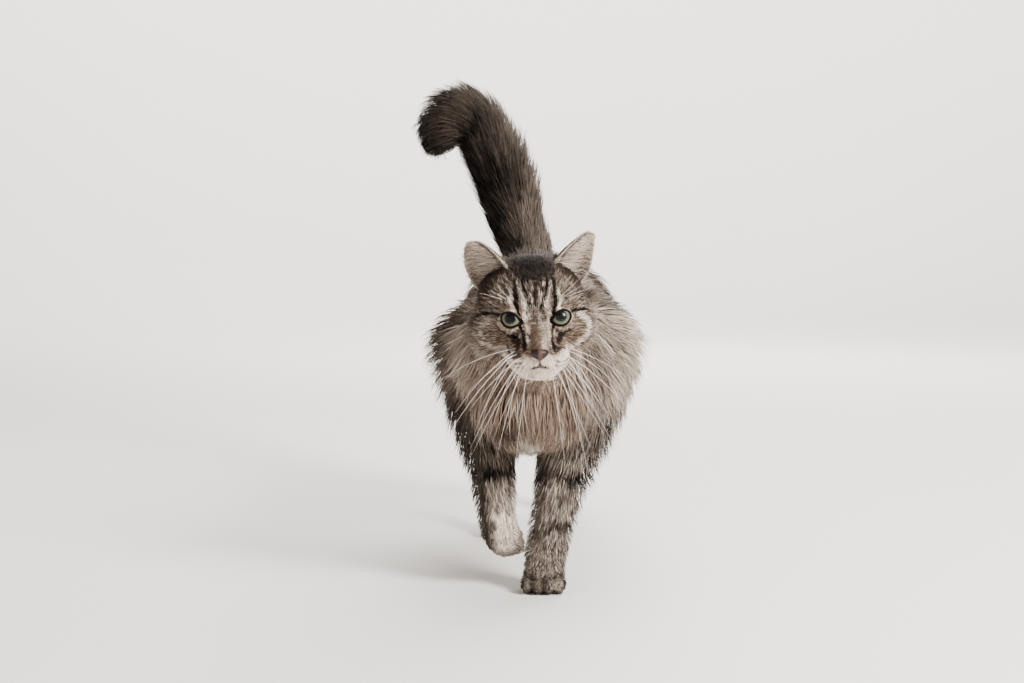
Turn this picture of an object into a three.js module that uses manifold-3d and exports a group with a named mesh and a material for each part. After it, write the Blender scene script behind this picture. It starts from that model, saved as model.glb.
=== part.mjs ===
// A long-haired tabby cat, life size, walking with its right front paw lifted and its tail raised.
// Millimetres, +Z up. The cat faces -Y and its left side is +X. The solids reach out to the tips of
// the coat. They are measured from the planted front paw (x = 0 is the middle of the body, z = 0 the
// floor), and the finished cat is moved so that its origin is the middle of its bounding box, on the floor.
import * as THREE from "three";
import { mergeVertices } from "three/addons/utils/BufferGeometryUtils.js";
import Module from "manifold-3d";

const wasm = await Module();
wasm.setup();

// Driving dimensions.
const GAP = 0.4; // between neighbouring pieces
const EYE_RADIUS = 11;
const EYE_FORWARD = 5;
const EYE_SPACING = 37.5; // between the middles of the eyes
const HEAD_AT = new THREE.Vector3(-1.5, -71, 241.5); // midway between the eyes
const HEAD_PITCH = 18; // degrees, nose down
const HEAD_YAW = 6.5; // degrees, nose towards the cat's left
const HEAD_ROLL = -2.5; // degrees, the cat's left eye higher
const EAR_WALL = 2.6;
const TOE_HALF = [6.2, 11.5, 9];
const TOE_SPACING = 9.8;

const GREY = 0x8d8072;
const BROWN = 0x7a6a5b;
const PALE = 0xcabcae;
const CHARCOAL = 0x3a3433;
const EYE_GREEN = 0x9aa684;
const NOSE_PINK = 0xb4705c;

// --- surfaces ---------------------------------------------------------------------------------

// A closed geometry as a solid.
function solidOf(geometry) {
  const bare = new THREE.BufferGeometry();
  bare.setAttribute("position", geometry.getAttribute("position").clone());
  bare.setIndex(geometry.index);
  const merged = mergeVertices(bare, 1e-3);
  return new wasm.Manifold(
    new wasm.Mesh({
      numProp: 3,
      vertProperties: merged.attributes.position.array,
      triVerts: new Uint32Array(merged.index.array),
    }),
  );
}

// Joins rings of equally many points. The first and the last ring are each one point.
function stitch(rings) {
  const sides = rings[0].length;
  const faces = [];
  for (let r = 0; r + 1 < rings.length; r++)
    for (let k = 0; k < sides; k++) {
      const [a, b] = [r * sides + k, r * sides + ((k + 1) % sides)];
      const [c, d] = [a + sides, b + sides];
      if (r > 0) faces.push(a, c, b);
      if (r + 2 < rings.length) faces.push(b, c, d);
    }
  const points = rings.flat().flatMap((p) => [p.x, p.y, p.z]);
  const geometry = new THREE.BufferGeometry();
  geometry.setAttribute("position", new THREE.Float32BufferAttribute(points, 3));
  geometry.setIndex(faces);
  return geometry;
}

// A section is a closed curve of one angle. `shrink` runs from 1 to 0 as an end is domed.
// An ellipse whose upper and lower halves differ.
function oval(angle, size, shrink, grow, power = 1) {
  const height = Math.sin(angle) > 0 ? size.up : size.down;
  const curve = (t) => Math.sign(t) * Math.abs(t) ** power * shrink;
  return [curve(Math.cos(angle)) * (size.side + grow), curve(Math.sin(angle)) * (height + grow)];
}

// The same, fuller at the corners.
const fullOval = (angle, size, shrink, grow) => oval(angle, size, shrink, grow, 0.86);

// A thin bowed leaf, open towards "up": size.up is how deep it bows and size.down how thick it is.
function leaf(angle, size, shrink, grow) {
  const u = Math.cos(angle) * shrink;
  const way = new THREE.Vector2(size.side, 2 * size.up * u).normalize();
  const face = Math.sign(Number(Math.sin(angle).toFixed(6)));
  const thick = Math.abs(Math.sin(angle)) ** 0.35 * (size.down / 2) + grow;
  const off = face * thick * Math.sqrt(shrink);
  const out = u * grow * 1.5;
  return [
    u * size.side + way.x * out - way.y * off,
    size.up * (u * u - 1) + way.y * out + way.x * off,
  ];
}

// A skin over rings that follow the stations' middles. A station is [middle, side, up, down]: its
// half sizes, where side lies along `across` and up and down are square to it and to the path.
// Each end is domed by its cap length.
function loft(stations, options, grow = 0) {
  const { sides = 16, steps = 2, caps = [6, 6], section = oval } = options;
  const { across = new THREE.Vector3(1, 0, 0) } = options;
  const middles = new THREE.CatmullRomCurve3(stations.map((s) => new THREE.Vector3(...s[0])));
  const halves = new THREE.CatmullRomCurve3(
    stations.map((s) => new THREE.Vector3(s[1], s[2], s[3] ?? s[2])),
  );
  const last = (stations.length - 1) * steps;
  const domeRings = 2;
  const rings = [];
  for (let i = -domeRings; i <= last + domeRings; i++) {
    const t = THREE.MathUtils.clamp(i / last, 0, 1);
    const along = middles.getTangent(t);
    const half = halves.getPoint(t);
    const beyond = i < 0 ? -i : Math.max(0, i - last);
    const bend = (beyond / domeRings) * (Math.PI / 2);
    const cap = (i < 0 ? -caps[0] - grow : caps[1] + grow) * Math.sin(bend);
    const shrink = beyond === domeRings ? 0 : Math.cos(bend);
    const right = across.clone().addScaledVector(along, -across.dot(along)).normalize();
    const up = new THREE.Vector3().crossVectors(right, along);
    const middle = middles.getPoint(t).addScaledVector(along, cap);
    const ring = [];
    for (let k = 0; k < sides; k++) {
      const size = { side: half.x, up: half.y, down: half.z };
      const [x, y] = section((k / sides) * 2 * Math.PI, size, shrink, grow);
      ring.push(middle.clone().addScaledVector(right, x).addScaledVector(up, y));
    }
    rings.push(ring);
  }
  return stitch(rings);
}

// About how far a point is outside lumps that melt into each other. A lump is [middle, half sizes].
function outside(p, lumps, blend) {
  let sum = 0;
  for (const [m, h] of lumps) {
    const [x, y, z] = [p.x - m[0], p.y - m[1], p.z - m[2]];
    const k0 = Math.hypot(x / h[0], y / h[1], z / h[2]);
    const k1 = Math.hypot(x / h[0] ** 2, y / h[1] ** 2, z / h[2] ** 2);
    sum += Math.exp((-k0 * (k0 - 1)) / k1 / blend);
  }
  return -Math.log(sum) * blend;
}

// A sphere drawn in from `reach` onto the lumps, towards one middle.
function wrap(lumps, options, grow = 0) {
  const { middle, columns = 16, rows = 10, blend = 1.6, reach = 50 } = options;
  const geometry = new THREE.SphereGeometry(1, columns, rows);
  const position = geometry.getAttribute("position");
  const [way, at] = [new THREE.Vector3(), new THREE.Vector3()];
  const from = new THREE.Vector3(...middle);
  for (let i = 0; i < position.count; i++) {
    way.fromBufferAttribute(position, i).normalize();
    let r = reach;
    for (let step = 0; step < 60; step++) {
      at.copy(from).addScaledVector(way, r);
      r -= 0.7 * (outside(at, lumps, blend) - grow);
    }
    position.setXYZ(i, at.x, at.y, at.z);
  }
  return geometry;
}

const mirrored = (lumps) => lumps.flatMap(([m, h]) => [[m, h], [[-m[0], m[1], m[2]], h]]);

// --- head, in its own frame: the middle is midway between the eyes, +Z is up off the skull ------

const HEAD_PLACE = new THREE.Object3D();
HEAD_PLACE.position.copy(HEAD_AT);
HEAD_PLACE.rotation.set(
  ...[HEAD_PITCH, HEAD_ROLL, HEAD_YAW].map(THREE.MathUtils.degToRad),
  "ZYX",
);
HEAD_PLACE.updateMatrix();
const onHead = (geometry) => solidOf(geometry.applyMatrix4(HEAD_PLACE.matrix));

// Lumps of the skull and the flesh on it: [middle, half sizes].
const SKULL = [
  [[0, 32, 9], [42.5, 42, 34]], // cranium
  [[0, 8, 13], [31, 18, 21]], // brow
  [[0, -2, 8], [15, 13, 13]], // the bridge of the nose, from the brow to the tip
  [[0, -11, 0], [11.5, 12, 10]],
  [[0, -19, -7.5], [9.5, 11, 8.5]],
  [[0, -25.5, -13], [8.2, 9.5, 7.5]],
  [[0, -17, -40], [14.5, 13, 6]], // chin
  [[0, 8, -30], [27, 26, 16]], // throat
  ...mirrored([
    [[28, 19, -11], [23, 27, 22]], // cheek
    [[33, 32, -21], [20, 24, 22]], // jowl
    [[20, -2, -13], [13, 9, 7]], // under the eye
    [[10.5, -20.5, -27], [15.5, 14.5, 11]], // whisker pad
  ]),
];
const NOSE = [
  [[0, -34.2, -17], [5, 4, 3.2]],
  [[0, -35.2, -20], [2.2, 2.8, 3.2]],
  ...mirrored([[[3.8, -33.2, -17.8], [2.9, 3.4, 2.5]]]),
];

// The head ends in an upright flat inside the ruff.
const NAPE_Y = -17;

function headShape(grow) {
  const options = { middle: [0, 8, -10], columns: 26, rows: 19, blend: 4.2, reach: 110 };
  return onHead(wrap(SKULL, options, grow)).trimByPlane([0, -1, 0], -NAPE_Y - grow);
}

function noseShape(grow) {
  const options = { middle: [0, -32, -18], columns: 10, rows: 7, blend: 1.5, reach: 20 };
  return onHead(wrap(NOSE, options, grow));
}

const eyeShape = (side) => (grow) => {
  const radius = EYE_RADIUS + grow;
  const eye = new THREE.SphereGeometry(radius, 12, 8).rotateX(Math.PI / 2);
  return onHead(eye.translate((side * EYE_SPACING) / 2, -EYE_FORWARD, 0));
};

// One ear, from its root in the head to its tip. It opens forwards and outwards.
const earShape = (side, turnedOut, stations) => (grow) => {
  const turn = THREE.MathUtils.degToRad(turnedOut) * side;
  const across = new THREE.Vector3(Math.cos(turn), Math.sin(turn), 0);
  const walled = stations.map(([at, half, bow]) => [at, half, bow, EAR_WALL]);
  return onHead(loft(walled, { section: leaf, across, sides: 12, steps: 1, caps: [3, 3] }, grow));
};
const leftEar = earShape(1, 25, [
  [[27, 41, 6], 13, 10],
  [[32, 39, 20], 19.5, 14],
  [[36, 36.5, 33], 19.5, 12],
  [[41, 33.5, 44.5], 15.5, 8],
  [[45.5, 31, 54], 10.5, 4],
  [[49, 29.5, 60.5], 5.5, 1],
]);
const rightEar = earShape(-1, 33, [
  [[-27, 41, 4], 14, 11],
  [[-32, 39, 18], 21, 15],
  [[-36, 36.5, 31], 21.5, 13],
  [[-40.5, 33.5, 42], 18, 9],
  [[-44, 31, 50.5], 13, 5],
  [[-46.5, 29.5, 56.5], 7.5, 1.5],
]);

// --- trunk, neck and bib --------------------------------------------------------------------------

// Down the body from the chest to the rump: middle (x, y), top, bottom, half width, widest height.
const TRUNK_PROFILE = [
  [0, 4, 258, 140, 64, 206],
  [0, 50, 284, 118, 90, 210],
  [0, 110, 288, 112, 97, 208],
  [-1, 180, 285, 108, 96, 200],
  [-4, 250, 297, 110, 89, 198],
  [-7, 310, 311, 124, 80, 206],
  [-9, 352, 315, 156, 66, 228],
  [-10, 384, 303, 196, 42, 248],
];

function trunkShape(grow) {
  const stations = TRUNK_PROFILE.map(([x, y, top, bottom, half, widest]) => [
    [x, y, widest],
    half,
    top - widest,
    widest - bottom,
  ]);
  return solidOf(loft(stations, { sides: 18, steps: 1, section: fullOval, caps: [16, 12] }, grow));
}

// The ruff hangs lower on the cat's right.
function ruffShape(grow) {
  const stations = [
    [[-1, -44, 229], 52, 46, 43],
    [[-3, -28, 227], 72, 57, 58],
    [[-4.5, -6, 225], 87, 63, 70],
    [[-5, 20, 223], 95, 65, 74],
    [[-4, 50, 220], 96, 66, 70],
    [[-2, 80, 216], 92, 66, 60],
  ];
  const across = new THREE.Vector3(1, 0, 0.12);
  return solidOf(loft(stations, { sides: 16, steps: 1, across, caps: [9, 6] }, grow));
}

// The long fur of the chest, which ends in a point between the front legs.
function bibShape(grow) {
  const stations = [
    [[-1, -38, 206], 46, 26, 20],
    [[-1, -36, 184], 54, 30, 20],
    [[-3, -26, 162], 49, 28, 20],
    [[-7, -14, 142], 31, 20, 14],
    [[-11, -9, 127], 12, 9, 7],
  ];
  return solidOf(loft(stations, { sides: 14, steps: 1, caps: [8, 5] }, grow));
}

// --- legs -------------------------------------------------------------------------------------------

// A paw pointing forwards: its pad, four toes, and the sole on the floor.
function pawLumps([x, y], halfWidth, length) {
  const toes = [-1.5, -0.5, 0.5, 1.5].map((n) => {
    const back = Math.abs(n) * 2.6;
    return [[x + n * TOE_SPACING * (halfWidth / 21), y - length * 0.3 + back, 8.5], TOE_HALF];
  });
  return [[[x, y + 3, 13], [halfWidth - 2, length / 2, 15]], ...toes];
}

function pawShape(place, halfWidth, length, grow, columns = 16) {
  const options = { middle: [...place, 10], columns, rows: 9 };
  const paw = wrap(pawLumps(place, halfWidth, length), options, grow);
  return solidOf(paw).trimByPlane([0, 0, 1], -grow);
}

function frontLeftLeg(grow) {
  const stations = [
    [[50, 50, 236], 26, 40, 34],
    [[57, 36, 205], 30, 42, 36],
    [[52, 28, 172], 33, 40, 34],
    [[42, 26, 142], 34, 36, 30],
    [[27, 20, 114], 31, 29, 26],
    [[17.5, 12, 84], 26, 24, 22],
    [[11.5, 6, 57], 21.5, 19, 18],
    [[7, 4, 32], 19, 17, 18],
    [[5, 3, 16], 18.5, 17, 18],
  ];
  const limb = solidOf(loft(stations, { sides: 14, steps: 1, caps: [12, 6] }, grow));
  return limb.add(pawShape([4.5, 0], 21, 46, grow)).trimByPlane([0, 0, 1], -grow);
}

// The lifted leg: the forearm reaches forwards and the paw hangs back from the wrist.
function frontRightLeg(grow) {
  const stations = [
    [[-54, 52, 230], 26, 40, 34],
    [[-63, 38, 196], 32, 42, 38],
    [[-59, 28, 164], 31, 40, 36],
    [[-48, 28, 136], 27, 34, 30],
    [[-42, 20, 110], 24, 26, 24],
    [[-39, 10, 86], 21, 21, 20],
    [[-37, 4, 66], 19, 18, 18],
    [[-34, 8, 50], 18.5, 17, 17],
    [[-29, 20, 38], 16.5, 14, 14],
  ];
  const limb = solidOf(loft(stations, { sides: 14, steps: 1, caps: [12, 7] }, grow));
  const toes = [-1.5, -0.5, 0.5, 1.5].map((n) => [
    [-25 + n * 7.6, 30 + Math.abs(n), 31 + Math.abs(n)],
    [5.2, 10.5, 7],
  ]);
  const pad = [[-28, 22, 36], [15.5, 13, 11]];
  return limb.add(solidOf(wrap([pad, ...toes], { middle: [-26, 24, 35] }, grow)));
}

// A hind leg: thigh, shank and foot, bent at the knee and the hock.
const hindLeg = (hip, knee, hock, paw) => (grow) => {
  const between = (a, b, t) => a.map((v, i) => v + (b[i] - v) * t);
  const ankle = [paw[0], paw[1] + 9, 24];
  const thigh = [
    [between(hip, knee, -0.1), 30, 42, 42],
    [between(hip, knee, 0.3), 38, 54, 50],
    [between(hip, knee, 0.7), 37, 52, 46],
    [knee, 29, 40, 36],
  ];
  const shank = [
    [knee, 24, 28, 26],
    [between(knee, hock, 0.4), 22.5, 28, 24],
    [between(knee, hock, 0.75), 17.5, 19, 17],
    [hock, 14.5, 14.5, 14],
  ];
  const foot = [
    [between(ankle, hock, 1.12), 11, 11, 11],
    [hock, 14.5, 14.5, 14],
    [between(hock, ankle, 0.5), 13.5, 13, 12.5],
    [ankle, 15, 13, 14],
  ];
  const joined = [
    [thigh, [16, 16]],
    [shank, [8, 8]],
    [foot, [5, 6]],
  ].map(([stations, caps]) => solidOf(loft(stations, { sides: 12, steps: 1, caps }, grow)));
  return wasm.Manifold.union([...joined, pawShape(paw, 18.5, 44, grow, 14)]).trimByPlane(
    [0, 0, 1],
    -grow,
  );
};

// --- tail -------------------------------------------------------------------------------------------

function tailShape(grow) {
  const stations = [
    [[-11, 372, 270], 30],
    [[-22, 408, 300], 39],
    [[-34, 424, 332], 42],
    [[-47, 429, 370], 38.5],
    [[-61, 430, 408], 40],
    [[-79, 428, 435], 42],
    [[-102, 424, 446], 40],
    [[-124, 420, 444], 36],
  ].map(([at, r]) => [at, r, r]);
  const across = new THREE.Vector3(0.35, 0.75, -0.55);
  return solidOf(loft(stations, { across, sides: 12, caps: [10, 30] }, grow));
}

// --- division into named pieces -----------------------------------------------------------------

const largest = (solid) =>
  solid.decompose().reduce((a, b) => (b.volume() > a.volume() ? b : a));

// Cuts a solid across its length: each cut is [name of the piece before it, point, way onwards].
function divide(solid, cuts, lastName) {
  const pieces = [];
  let rest = solid;
  for (const [name, at, onwards] of cuts) {
    const way = new THREE.Vector3(...onwards).normalize();
    const place = way.dot(new THREE.Vector3(...at));
    const back = way.clone().negate();
    pieces.push([name, largest(rest.trimByPlane(back.toArray(), -place + GAP / 2))]);
    rest = rest.trimByPlane(way.toArray(), place + GAP / 2);
  }
  return [...pieces, [lastName, largest(rest)]];
}

const headPoint = (...p) => new THREE.Vector3(...p).applyMatrix4(HEAD_PLACE.matrix).toArray();
const headWay = (...p) =>
  new THREE.Vector3(...p).transformDirection(HEAD_PLACE.matrix).toArray();

// Each unit is cut clear of those before it, and then divided.
const UNITS = [
  { shape: eyeShape(1), last: "eye_left" },
  { shape: eyeShape(-1), last: "eye_right" },
  { shape: noseShape, last: "nose" },
  {
    shape: headShape,
    cuts: [["head", headPoint(0, -8, -22), headWay(0, -0.8, -0.6)]],
    last: "muzzle",
  },
  { shape: leftEar, last: "ear_left" },
  { shape: rightEar, last: "ear_right" },
  {
    shape: hindLeg([34, 336, 245], [48, 305, 160], [28, 385, 84], [20, 362]),
    cuts: [
      ["thigh_left", [44, 320, 138], [0, 0.2, -1]],
      ["shank_left", [28, 380, 90], [0, 0.1, -1]],
      ["hind_foot_left", [20, 372, 27], [0, 0, -1]],
    ],
    last: "hind_paw_left",
  },
  {
    shape: hindLeg([-52, 328, 240], [-64, 258, 172], [-50, 278, 66], [-45, 234]),
    cuts: [
      ["thigh_right", [-62, 262, 138], [0, 0.1, -1]],
      ["shank_right", [-50, 276, 76], [0, 0.1, -1]],
      ["hind_foot_right", [-45, 243, 27], [0, -0.3, -1]],
    ],
    last: "hind_paw_right",
  },
  {
    shape: trunkShape,
    cuts: [
      ["thorax", [0, 150, 200], [0, 1, 0]],
      ["abdomen", [0, 275, 200], [0, 1, 0]],
    ],
    last: "rump",
  },
  { shape: ruffShape, last: "neck_ruff" },
  { shape: bibShape, last: "chest_bib" },
  {
    shape: frontLeftLeg,
    cuts: [
      ["upper_arm_left", [30, 24, 122], [-0.35, -0.2, -1]],
      ["forearm_left", [6, 4, 33], [0, 0, -1]],
    ],
    last: "front_paw_left",
  },
  {
    shape: frontRightLeg,
    cuts: [
      ["upper_arm_right", [-46, 24, 124], [0.2, -0.2, -1]],
      ["forearm_right", [-35, 5, 55], [0.2, 0.35, -1]],
    ],
    last: "front_paw_right",
  },
  {
    shape: tailShape,
    cuts: [
      ["tail_base", [-22, 424, 340], [-0.45, 0.25, 0.86]],
      ["tail_middle", [-72, 429, 420], [-0.7, 0, 0.7]],
    ],
    last: "tail_tip",
  },
];

const COLOURS = {
  eye: EYE_GREEN,
  nose: NOSE_PINK,
  ear: PALE,
  muzzle: PALE,
  chest: PALE,
  tail: CHARCOAL,
  abdomen: BROWN,
  neck: BROWN,
  thigh: BROWN,
};
const HEAD_PIECES = /^(eye|nose|ear|head|muzzle|jaw)/;

function meshOf(name, solid) {
  const { numProp, vertProperties, triVerts } = solid.getMesh();
  const geometry = new THREE.BufferGeometry();
  const points = new Float32Array((vertProperties.length / numProp) * 3);
  for (let i = 0; i < points.length / 3; i++)
    points.set(vertProperties.subarray(i * numProp, i * numProp + 3), i * 3);
  geometry.setAttribute("position", new THREE.BufferAttribute(points, 3));
  geometry.setIndex(new THREE.BufferAttribute(triVerts, 1));
  geometry.computeVertexNormals();
  const roughness = name.startsWith("eye") ? 0.1 : name === "nose" ? 0.5 : 0.9;
  const color = COLOURS[name.split("_")[0]] ?? GREY;
  const mesh = new THREE.Mesh(geometry, new THREE.MeshStandardMaterial({ color, roughness }));
  mesh.name = name;
  return mesh;
}

const cat = new THREE.Group();
const headGroup = new THREE.Group();
headGroup.position.copy(HEAD_PLACE.position);
headGroup.rotation.copy(HEAD_PLACE.rotation);
const intoHead = HEAD_PLACE.matrix.clone().invert();
const taken = [];
for (const { shape, cuts = [], last } of UNITS) {
  let solid = shape(0);
  for (const cutter of taken) solid = solid.subtract(cutter);
  taken.push(shape(GAP));
  for (const [name, piece] of divide(solid, cuts, last)) {
    const mesh = meshOf(name, piece);
    if (HEAD_PIECES.test(name)) {
      mesh.geometry.applyMatrix4(intoHead);
      headGroup.add(mesh);
    } else cat.add(mesh);
  }
}
cat.add(headGroup);

const box = new THREE.Box3().setFromObject(cat, true);
const middle = box.getCenter(new THREE.Vector3());
cat.position.set(-middle.x, -middle.y, -box.min.z);

export default cat;
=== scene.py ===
"""Looks of a long-haired tabby cat, still and life size, in mid step with its tail raised.

One skin stands for all the pieces of flesh. Locks of fur grow from it and lie along the body, out to
the surface of those pieces. The eyes, the nose leather, the pads and the whiskers are pieces of their own.
Modelling is in millimetres in the cat's own frame, which has its origin on the floor under the planted
front paw, and is moved to the frame of the model when a mesh is made.
"""

import math

import bmesh
import bpy
import numpy as np
from mathutils import Euler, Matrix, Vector
from mathutils.bvhtree import BVHTree
from mathutils.kdtree import KDTree


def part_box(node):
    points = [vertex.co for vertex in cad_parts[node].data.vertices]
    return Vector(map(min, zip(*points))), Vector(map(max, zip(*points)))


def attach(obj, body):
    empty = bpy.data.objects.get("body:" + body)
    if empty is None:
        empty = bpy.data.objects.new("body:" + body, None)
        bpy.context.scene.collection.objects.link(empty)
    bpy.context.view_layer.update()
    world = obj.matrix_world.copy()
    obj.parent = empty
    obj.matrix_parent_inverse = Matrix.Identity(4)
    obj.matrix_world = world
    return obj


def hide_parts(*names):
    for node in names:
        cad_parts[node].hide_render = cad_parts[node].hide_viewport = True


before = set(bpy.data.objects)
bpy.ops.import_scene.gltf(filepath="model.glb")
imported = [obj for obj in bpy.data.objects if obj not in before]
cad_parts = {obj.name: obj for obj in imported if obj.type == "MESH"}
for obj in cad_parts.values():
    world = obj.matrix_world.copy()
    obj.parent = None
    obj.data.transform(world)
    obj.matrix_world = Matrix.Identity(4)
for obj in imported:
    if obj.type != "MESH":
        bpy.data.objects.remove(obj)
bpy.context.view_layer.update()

bl_info = {
    "name": "Long-haired tabby cat",
    "version": (1, 0, 0),
    "blender": (4, 5, 0),
    "location": "3D View > Sidebar > Cat",
    "description": "Grows the skin, the coat, the eyes and the whiskers on the solids of a walking cat",
    "category": "Object",
}

EYE_NODES = ("eye_left", "eye_right")
FLESH = sorted(set(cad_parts) - {*EYE_NODES, "nose"})

# --- frames -------------------------------------------------------------------------------------

HEAD_AT = np.array([-1.5, -71.0, 241.5])  # midway between the eyes, in the cat's frame
HEAD_TURN = np.array(Euler([math.radians(a) for a in (18.0, -2.5, 6.5)], "XYZ").to_matrix())
EYE_RADIUS = 11.0
EYE_FORWARD = 5.0  # of the middles of the eyeballs
EYE_APART = 37.5
EYE_BULGE = 0.9  # of the clear front of the eye
SKULL_MIDDLE = np.array([0.0, 20.0, -8.0])  # longitude and latitude on the head are seen from here


def box_middle(node):
    low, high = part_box(node)
    return np.array((low + high) / 2) * 1000


def from_head(points):
    """Points of the head's frame, in the cat's frame."""
    return np.asarray(points, float) @ HEAD_TURN.T + HEAD_AT


def to_head(points):
    return (np.asarray(points, float) - HEAD_AT) @ HEAD_TURN


ORIGIN = (box_middle("eye_left") + box_middle("eye_right")) / 2 - from_head([0, -EYE_FORWARD, 0])


def to_model(points):
    """Millimetres in the cat's frame as metres in the model's frame."""
    return (np.asarray(points, float) + ORIGIN) / 1000


def to_cat(points):
    return np.asarray(points, float) * 1000 - ORIGIN


# --- small helpers ------------------------------------------------------------------------------


def unit(vectors):
    vectors = np.asarray(vectors, float)
    return vectors / np.maximum(np.linalg.norm(vectors, axis=-1, keepdims=True), 1e-9)


def ease(low, high, value):
    """0 below low, 1 above high, and smooth between them; turned round where high < low."""
    t = np.clip((value - low) / (high - low), 0, 1)
    return t * t * (3 - 2 * t)


def mix(a, b, share):
    return a + (b - a) * share


def waves(points, size, seed=0):
    """Smooth irregular variation from -1 to 1, with features about this big."""
    rng = np.random.default_rng(seed + 1)
    total = np.zeros(len(points))
    for octave in range(6):
        way = unit(rng.normal(size=3)) * (2 * math.pi / size) * (0.7 + 0.22 * octave)
        total += np.sin(points @ way + rng.uniform(0, 6.28)) / (1 + 0.25 * octave)
    return np.clip(total / 2.6, -1, 1)


def along_curve(rows, steps):
    """Rows of numbers, joined by a Catmull-Rom curve with this many steps between two rows."""
    rows = np.asarray(rows, float)
    padded = np.vstack([2 * rows[0] - rows[1], rows, 2 * rows[-1] - rows[-2]])
    made = []
    for i in range(1, len(rows)):
        a, b, c, d = padded[i - 1 : i + 3]
        for t in np.arange(steps) / steps:
            line = (b * 2) + (c - a) * t + (2 * a - 5 * b + 4 * c - d) * t * t
            made.append((line + (3 * b - a - 3 * c + d) * t**3) / 2)
    made.append(rows[-1])
    return np.array(made)


def deselect():
    if bpy.context.object and bpy.context.object.mode != "OBJECT":
        bpy.ops.object.mode_set(mode="OBJECT")
    bpy.ops.object.select_all(action="DESELECT")


def choose(obj):
    deselect()
    obj.select_set(True)
    bpy.context.view_layer.objects.active = obj


def finish_with(obj, kind, **settings):
    """Adds a modifier with these settings and applies it."""
    choose(obj)
    modifier = obj.modifiers.new(kind.title(), kind)
    for name, value in settings.items():
        setattr(modifier, name, value)
    bpy.ops.object.modifier_apply(modifier=modifier.name)


def mesh_of(name, points, faces):
    """An object from points in the cat's frame and faces that all have as many corners."""
    faces = np.asarray(faces, np.int32)
    count, corners = faces.shape
    data = bpy.data.meshes.new(name)
    data.vertices.add(len(points))
    data.vertices.foreach_set("co", to_model(points).astype(np.float32).ravel())
    data.loops.add(count * corners)
    data.loops.foreach_set("vertex_index", faces.ravel())
    data.polygons.add(count)
    data.polygons.foreach_set("loop_start", np.arange(0, count * corners, corners, dtype=np.int32))
    data.update(calc_edges=True)
    data.validate()
    obj = bpy.data.objects.new(name, data)
    bpy.context.scene.collection.objects.link(obj)
    return obj


def points_of(obj):
    flat = np.empty(len(obj.data.vertices) * 3, np.float32)
    obj.data.vertices.foreach_get("co", flat)
    return to_cat(flat.reshape(-1, 3))


def triangles_of(obj):
    obj.data.calc_loop_triangles()
    flat = np.empty(len(obj.data.loop_triangles) * 3, np.int32)
    obj.data.loop_triangles.foreach_get("vertices", flat)
    return flat.reshape(-1, 3)


def normals_of(obj):
    flat = np.empty(len(obj.data.vertices) * 3, np.float32)
    obj.data.vertices.foreach_get("normal", flat)
    return flat.reshape(-1, 3).astype(float)


def write(obj, name, values):
    """Keeps numbers, triples or colours on the points of a mesh as an attribute."""
    values = np.asarray(values, np.float32)
    kind, field = {1: ("FLOAT", "value"), 3: ("FLOAT_VECTOR", "vector"), 4: ("FLOAT_COLOR", "color")}[
        1 if values.ndim == 1 else values.shape[1]
    ]
    attribute = obj.data.attributes.new(name, kind, "POINT")
    attribute.data.foreach_set(field, values.ravel())


def read(obj, name):
    """Numbers or triples that a mesh keeps as an attribute."""
    data = obj.data.attributes[name].data
    field, shape = ("vector", (-1, 3)) if hasattr(data[0], "vector") else ("value", -1)
    flat = np.empty(len(data) * (3 if field == "vector" else 1), np.float32)
    data.foreach_get(field, flat)
    return flat.astype(float).reshape(shape)


def primitive(kind, **settings):
    """The points (on a radius of 1) and triangles of one of Blender's primitives."""
    deselect()
    getattr(bpy.ops.mesh, kind)(radius=1, **settings)
    obj = bpy.context.object
    flat = np.empty(len(obj.data.vertices) * 3, np.float32)
    obj.data.vertices.foreach_get("co", flat)
    made = flat.reshape(-1, 3).astype(float), triangles_of(obj)
    bpy.data.objects.remove(obj)
    return made


def place(obj, material, slot, *nodes):
    """Finishes a piece: smooth, with its material, riding on the cat."""
    obj.data.materials.clear()
    obj.data.materials.append(material)
    obj.data.shade_smooth()
    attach(obj, "root")
    if nodes:
        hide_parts(*nodes)


# --- shape of the head ----------------------------------------------------------------------------

# Lumps of the skull and the flesh on it, in the head's frame: middle, half sizes.
SKULL = [
    [(0, 32, 9), (42.5, 42, 34)],  # cranium
    [(0, 8, 13), (31, 18, 21)],  # brow
    [(0, -2, 8), (15, 13, 13)],  # the bridge of the nose, from the brow to the tip
    [(0, -11, 0), (11.5, 12, 10)],
    [(0, -19, -7.5), (9.5, 11, 8.5)],
    [(0, -25.5, -13), (8.2, 9.5, 7.5)],
    [(0, -17, -40), (14.5, 13, 6)],  # chin
    [(0, 8, -30), (27, 26, 16)],  # throat
]
SKULL_PAIRS = [
    [(28, 19, -11), (23, 27, 22)],  # cheek
    [(33, 32, -21), (20, 24, 22)],  # jowl
    [(20, -2, -13), (13, 9, 7)],  # under the eye
    [(10.5, -20.5, -27), (15.5, 14.5, 11)],  # whisker pad
]
SKULL_BLEND = 4.2  # how softly lumps melt into each other
WRAP_ROUNDS = 60
WRAP_STEP = 0.7  # of the distance that is left, in each round
WRAP_FROM = 110.0  # the globe starts this far out
HEAD_MIDDLE = np.array([0.0, 8.0, -10.0])
NOSE_TIP = np.array([0.0, -35.0, -18.0])

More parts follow.
